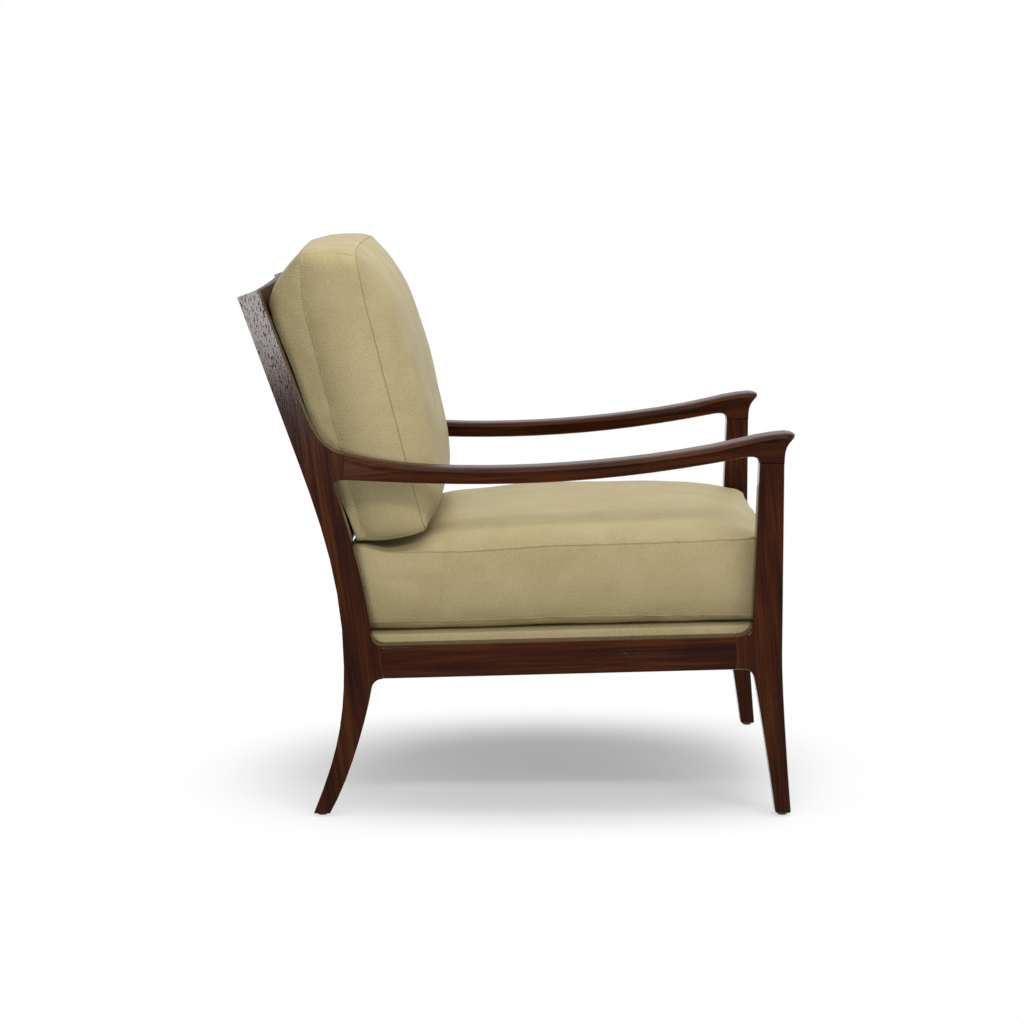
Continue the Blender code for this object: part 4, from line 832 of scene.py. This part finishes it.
def finished_cushion(name, shell, points, corner_seams):
    """The cushion's skin as one piece, with its seams, puckers and the lips of its zip's slit."""
    faces = shell.faces(in_slit(shell))
    normals = vertex_normals(points, faces)
    distance = seam_distance(shell)
    points = broad_unevenness(points, normals, len(name))
    points = puckered(points, normals, distance, len(name))
    height, painted_seam_shade = seam_profile(shell, corner_seams)
    points = points + normals * height[:, None]
    item = mesh_object(name, points, faces)
    mesh = item.data
    # The seam attribute carries the shade painted into the seams' grooves to the leather's colour.
    attribute = mesh.attributes.new("seam", "FLOAT", "POINT")
    attribute.data.foreach_set("value", painted_seam_shade.astype(np.float32))
    bm = bmesh.new()
    bm.from_mesh(mesh)
    border = [e for e in bm.edges if e.is_boundary]
    centre = Vector(points.mean(0))
    grown = bmesh.ops.extrude_edge_only(bm, edges=border)["geom"]
    for vertex in (v for v in grown if isinstance(v, bmesh.types.BMVert)):
        inward = (centre - vertex.co)
        inward.x = 0.0
        vertex.co += inward.normalized() * ZIP_LIP_DEPTH
    for face in bm.faces:
        face.smooth = True
    bmesh.ops.recalc_face_normals(bm, faces=bm.faces)
    bm.to_mesh(mesh)
    bm.free()
    finer = item.modifiers.new("rounding", "SUBSURF")
    finer.levels = 1
    finer.render_levels = 1
    mesh.materials.append(leather)
    return item, points


def panel_row(grid, depth):
    """The closed line on a panel that runs a few grid lines inside its seam."""
    last_x, last_y = grid.shape[0] - 1 - depth, grid.shape[1] - 1 - depth
    loop = [(i, depth) for i in range(depth, last_x)]
    loop += [(last_x, j) for j in range(depth, last_y)]
    loop += [(i, last_y) for i in range(last_x, depth, -1)]
    loop += [(depth, j) for j in range(last_y, depth, -1)]
    return np.array([grid[i, j] for i, j in loop])


def corner_rows(shell):
    """The short seams across the boxing at its corners, beside the corner line."""
    corners = [i for i, (a, b) in enumerate(shell.loop)
               if a in (0, len(shell.xs) - 1) and b in (0, len(shell.ys) - 1)]
    rows = []
    for corner in corners:
        column = (corner + 1) % len(shell.loop)
        rows.append(np.array([row[column] for row in shell.rows[2:-2]]))
    return rows


def stitches(name, rows, points, normals, body):
    """Short threads, each a slim spindle lying along its row and dipping in at both ends."""
    verts, faces = [], []
    for row, is_loop in rows:
        row = np.append(row, row[0]) if is_loop else row
        closed, out = points[row], normals[row]
        at = np.concatenate(([0.0], np.cumsum(np.linalg.norm(np.diff(closed, axis=0), axis=1))))
        count = int(at[-1] / STITCH_SPACING)
        for number in range(count):
            middle = (number + 0.5) * at[-1] / count
            ends = [middle - STITCH_LENGTH / 2, middle + STITCH_LENGTH / 2]
            a, b = (np.array([np.interp(s, at, closed[:, k]) for k in range(3)]) for s in ends)
            up = np.array([np.interp(middle, at, out[:, k]) for k in range(3)])
            along = b - a
            side = np.cross(along, up)
            side /= max(np.linalg.norm(side), 1e-9)
            base = len(verts)
            for share, fat, lift in STITCH_RINGS:
                middle_point = a + along * share + up * (STITCH_RADIUS * lift)
                for step in range(STITCH_SIDES):
                    angle = math.tau * step / STITCH_SIDES
                    ring = side * math.cos(angle) + up * math.sin(angle)
                    verts.append(middle_point + ring * (STITCH_RADIUS * fat))
            last = base + (len(STITCH_RINGS) - 1) * STITCH_SIDES
            for low in range(base, last, STITCH_SIDES):
                high = low + STITCH_SIDES
                for step in range(STITCH_SIDES):
                    after = (step + 1) % STITCH_SIDES
                    faces.append([low + step, low + after, high + after, high + step])
            faces.append([base + step for step in reversed(range(STITCH_SIDES))])
            faces.append([last + step for step in range(STITCH_SIDES)])
    item = mesh_object(name, verts, faces)
    for polygon in item.data.polygons:
        polygon.use_smooth = True
    item.data.materials.append(thread)
    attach(item, body)
    return item


def seat_pressed(points):
    """1 where the seat cushion bears the back cushion or lies on the deck, 0 where it is free."""
    local = local_to(points, SEAT_AXES)
    under_back = 1 - rise(-local[:, 1], *PRESSED_UNDER_BACK)
    on_deck = 1 - rise(local[:, 2], SEAT_BOTTOM, SEAT_UNDER_ROUND)
    return np.maximum(under_back * (local[:, 2] > PRESSED_ABOVE), on_deck)


def back_pressed(points):
    """1 where the back cushion stands on the seat cushion or leans on the rails."""
    local = local_to(points, SEAT_AXES)
    on_seat = 1 - rise(local[:, 2], seat_height_at(points[:, 0], -local[:, 1]), ON_SEAT_SPAN)
    on_rails = 1 - rise(points @ BACK_OUT, BACK_PLANE, ON_RAILS_SPAN)
    return np.maximum(on_seat, on_rails)


def rest_on(points, tree):
    """Lifts points that would lie in what is below them, without a sharp edge."""
    for index, point in enumerate(points):
        hit = tree.ray_cast(Vector((point[0], point[1], RAY_HEIGHT)), Vector((0, 0, -1)))[0]
        if hit is not None and point[2] < hit.z + REST_REACH:
            points[index][2] = float(soft_max(point[2], hit.z + REST_GAP, REST_SOFTNESS))
    return points


def lean_on_rails(points):
    """Keeps the back cushion in front of the plane of the back's rails."""
    depth = points @ BACK_OUT - BACK_PLANE
    kept = soft_max(depth, REST_GAP, RAIL_REST_SOFTNESS)
    return points + np.outer(kept - depth, BACK_OUT)


def tree_of(item):
    bpy.context.view_layer.update()
    evaluated = item.evaluated_get(bpy.context.evaluated_depsgraph_get())
    points = [item.matrix_world @ v.co for v in evaluated.data.vertices]
    faces = [list(p.vertices) for p in evaluated.data.polygons]
    return BVHTree.FromPolygons(points, faces)


def free_share(shell, pressed):
    """How freely the skin may move: not at all near the zip or where the cushions press."""
    level = np.abs(shell.t - 0.5) * shell.side_height
    from_zip = np.hypot(np.maximum(np.abs(shell.x) - ZIP_HALF_LENGTH, 0.0), level)
    side = (shell.panel == 0) & (shell.y < -shell.ys[-1] + SIDE_TOLERANCE)
    free = np.where(side, rise(from_zip, *FREE_FROM_ZIP), 1.0)
    return (free * (1 - pressed))[:, None]


def make_cushion(kind, half, corners, height, place, pressed, settle, corner_seams=False):
    """One finished cushion with its stitching, on its own body."""
    coarse, fine = cushion_shells(half, corners, height)
    points = place(fine)
    shift = simulated_shift(f"{kind}_cushion", coarse, place(coarse))
    points = points + fine.resampled(coarse, shift) * free_share(fine, pressed(points))
    points = settle(points)
    body = f"{kind}_cushion"
    skin, points = finished_cushion(f"{kind}_cushion_skin", fine, points, corner_seams)
    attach(skin, body)
    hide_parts(f"{kind}_cushion_cover", f"{kind}_cushion_core")
    normals = vertex_normals(points, fine.faces())
    rows = [(fine.rows[1], True)]
    if corner_seams:
        rows += [(row, False) for row in corner_rows(fine)]
    else:
        depth = [d for d, _ in SEAM_LINES].index(STITCH_OFFSET)
        rows.append((panel_row(fine.high, depth), True))
    stitches(f"{kind}_cushion_stitching", rows, points, normals, body)
    return skin


def finish_zip(kind):
    """Gives the CAD's own nodes for a zip's tape and slider their finish."""
    for node, material in ((f"{kind}_cushion_zip", zip_tape), (f"{kind}_zip_slider", brass)):
        item = frame["nodes"][node]
        item.data.materials.clear()
        item.data.materials.append(material)


# Camera, floor and light


def make_camera():
    data = bpy.data.cameras.new("photo_camera")
    data.sensor_width = CAMERA_SENSOR
    data.lens = CAMERA_LENS
    camera = bpy.data.objects.new("photo_camera", data)
    bpy.context.scene.collection.objects.link(camera)
    camera.location = CAMERA_PLACE
    camera.rotation_euler = (math.pi / 2 - CAMERA_PITCH, 0.0, -math.pi / 2)
    bpy.context.scene.camera = camera


def background_rays(tree):
    """1 for the rays that show the background: the camera's, and those in gloss and glass."""
    path = add_node(tree, "ShaderNodeLightPath")
    seen = math_node(tree, "MAXIMUM", path.outputs["Is Camera Ray"], path.outputs["Is Glossy Ray"])
    return math_node(tree, "MAXIMUM", seen, path.outputs["Is Transmission Ray"])


def make_floor():
    """A pale floor that keeps the chair's shadow and runs out to the backdrop's white."""
    corners = [(x * FLOOR_REACH, y * FLOOR_REACH, 0)
               for x, y in ((-1, -1), (1, -1), (1, 1), (-1, 1))]
    floor = mesh_object("floor", corners, [[0, 1, 2, 3]])
    material, tree, shader = new_material("floor")
    place = add_node(tree, "ShaderNodeTexCoord").outputs["Object"]
    away = add_node(tree, "ShaderNodeVectorMath", {0: place, 1: FLOOR_MIDDLE},
                    operation="DISTANCE").outputs["Value"]
    far = add_node(tree, "ShaderNodeMapRange", {
        "Value": away, "From Min": FLOOR_NEAR, "From Max": FLOOR_FAR},
        interpolation_type="SMOOTHSTEP").outputs["Result"]
    grain = noise_of(tree, place, 60.0)
    tree.links.new(ramp(tree, grain, ((0.3, 0.78), (0.7, 0.80))), shader.inputs["Base Color"])
    shader.inputs["Roughness"].default_value = 0.9
    shader.inputs["Specular IOR Level"].default_value = 0.1
    lift = add_node(tree, "ShaderNodeEmission", {"Strength": FLOOR_GLOW})
    white = add_node(tree, "ShaderNodeEmission", {"Strength": 1.0})
    near = add_node(tree, "ShaderNodeAddShader", {
        0: shader.outputs["BSDF"], 1: lift.outputs["Emission"]})
    seen = add_node(tree, "ShaderNodeMixShader", {
        0: far, 1: near.outputs["Shader"], 2: white.outputs["Emission"]})
    lit = add_node(tree, "ShaderNodeBsdfDiffuse", {"Color": FLOOR_BOUNCE})
    total = add_node(tree, "ShaderNodeMixShader", {
        0: background_rays(tree), 1: lit.outputs["BSDF"], 2: seen.outputs["Shader"]})
    tree.links.new(total.outputs["Shader"], tree.nodes["Material Output"].inputs["Surface"])
    floor.data.materials.append(material)


def make_world():
    """White wherever the background shows, and a soft fill for everything else."""
    world = bpy.data.worlds.new("studio")
    bpy.context.scene.world = world
    world.use_nodes = True
    tree = world.node_tree
    background = tree.nodes["Background"]
    background.inputs["Color"].default_value = (1.0, 1.0, 1.0, 1.0)
    strength = add_node(tree, "ShaderNodeMapRange", {
        "Value": background_rays(tree), "To Min": WORLD_FILL, "To Max": 1.0})
    tree.links.new(strength.outputs["Result"], background.inputs["Strength"])


def add_area_light(name, place, target, size, power):
    """A rectangular lamp that the camera doesn't see itself."""
    data = bpy.data.lights.new(name, "AREA")
    data.shape = "RECTANGLE"
    data.size, data.size_y = size
    data.energy = power
    light = bpy.data.objects.new(name, data)
    bpy.context.scene.collection.objects.link(light)
    light.visible_camera = False
    light.location = place
    light.rotation_euler = (Vector(target) - Vector(place)).to_track_quat("-Z", "Y").to_euler()


# The scene

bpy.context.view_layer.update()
make_camera()
make_floor()
make_world()
for lamp in LAMPS:
    add_area_light(*lamp)
bpy.context.scene.view_settings.view_transform = "Standard"
finish_wood()
finish_hardware()
seat_skin = make_cushion("seat", SEAT_HALF, SEAT_CORNERS, SEAT_BOX_HEIGHT, seat_points,
                         seat_pressed, lambda points: points)
seat_tree = tree_of(seat_skin)
make_cushion("back", BACK_HALF, BACK_CORNERS, BACK_BOX_THICKNESS, back_points,
             back_pressed, lambda points: rest_on(lean_on_rails(points), seat_tree), True)
finish_zip("seat")
finish_zip("back")
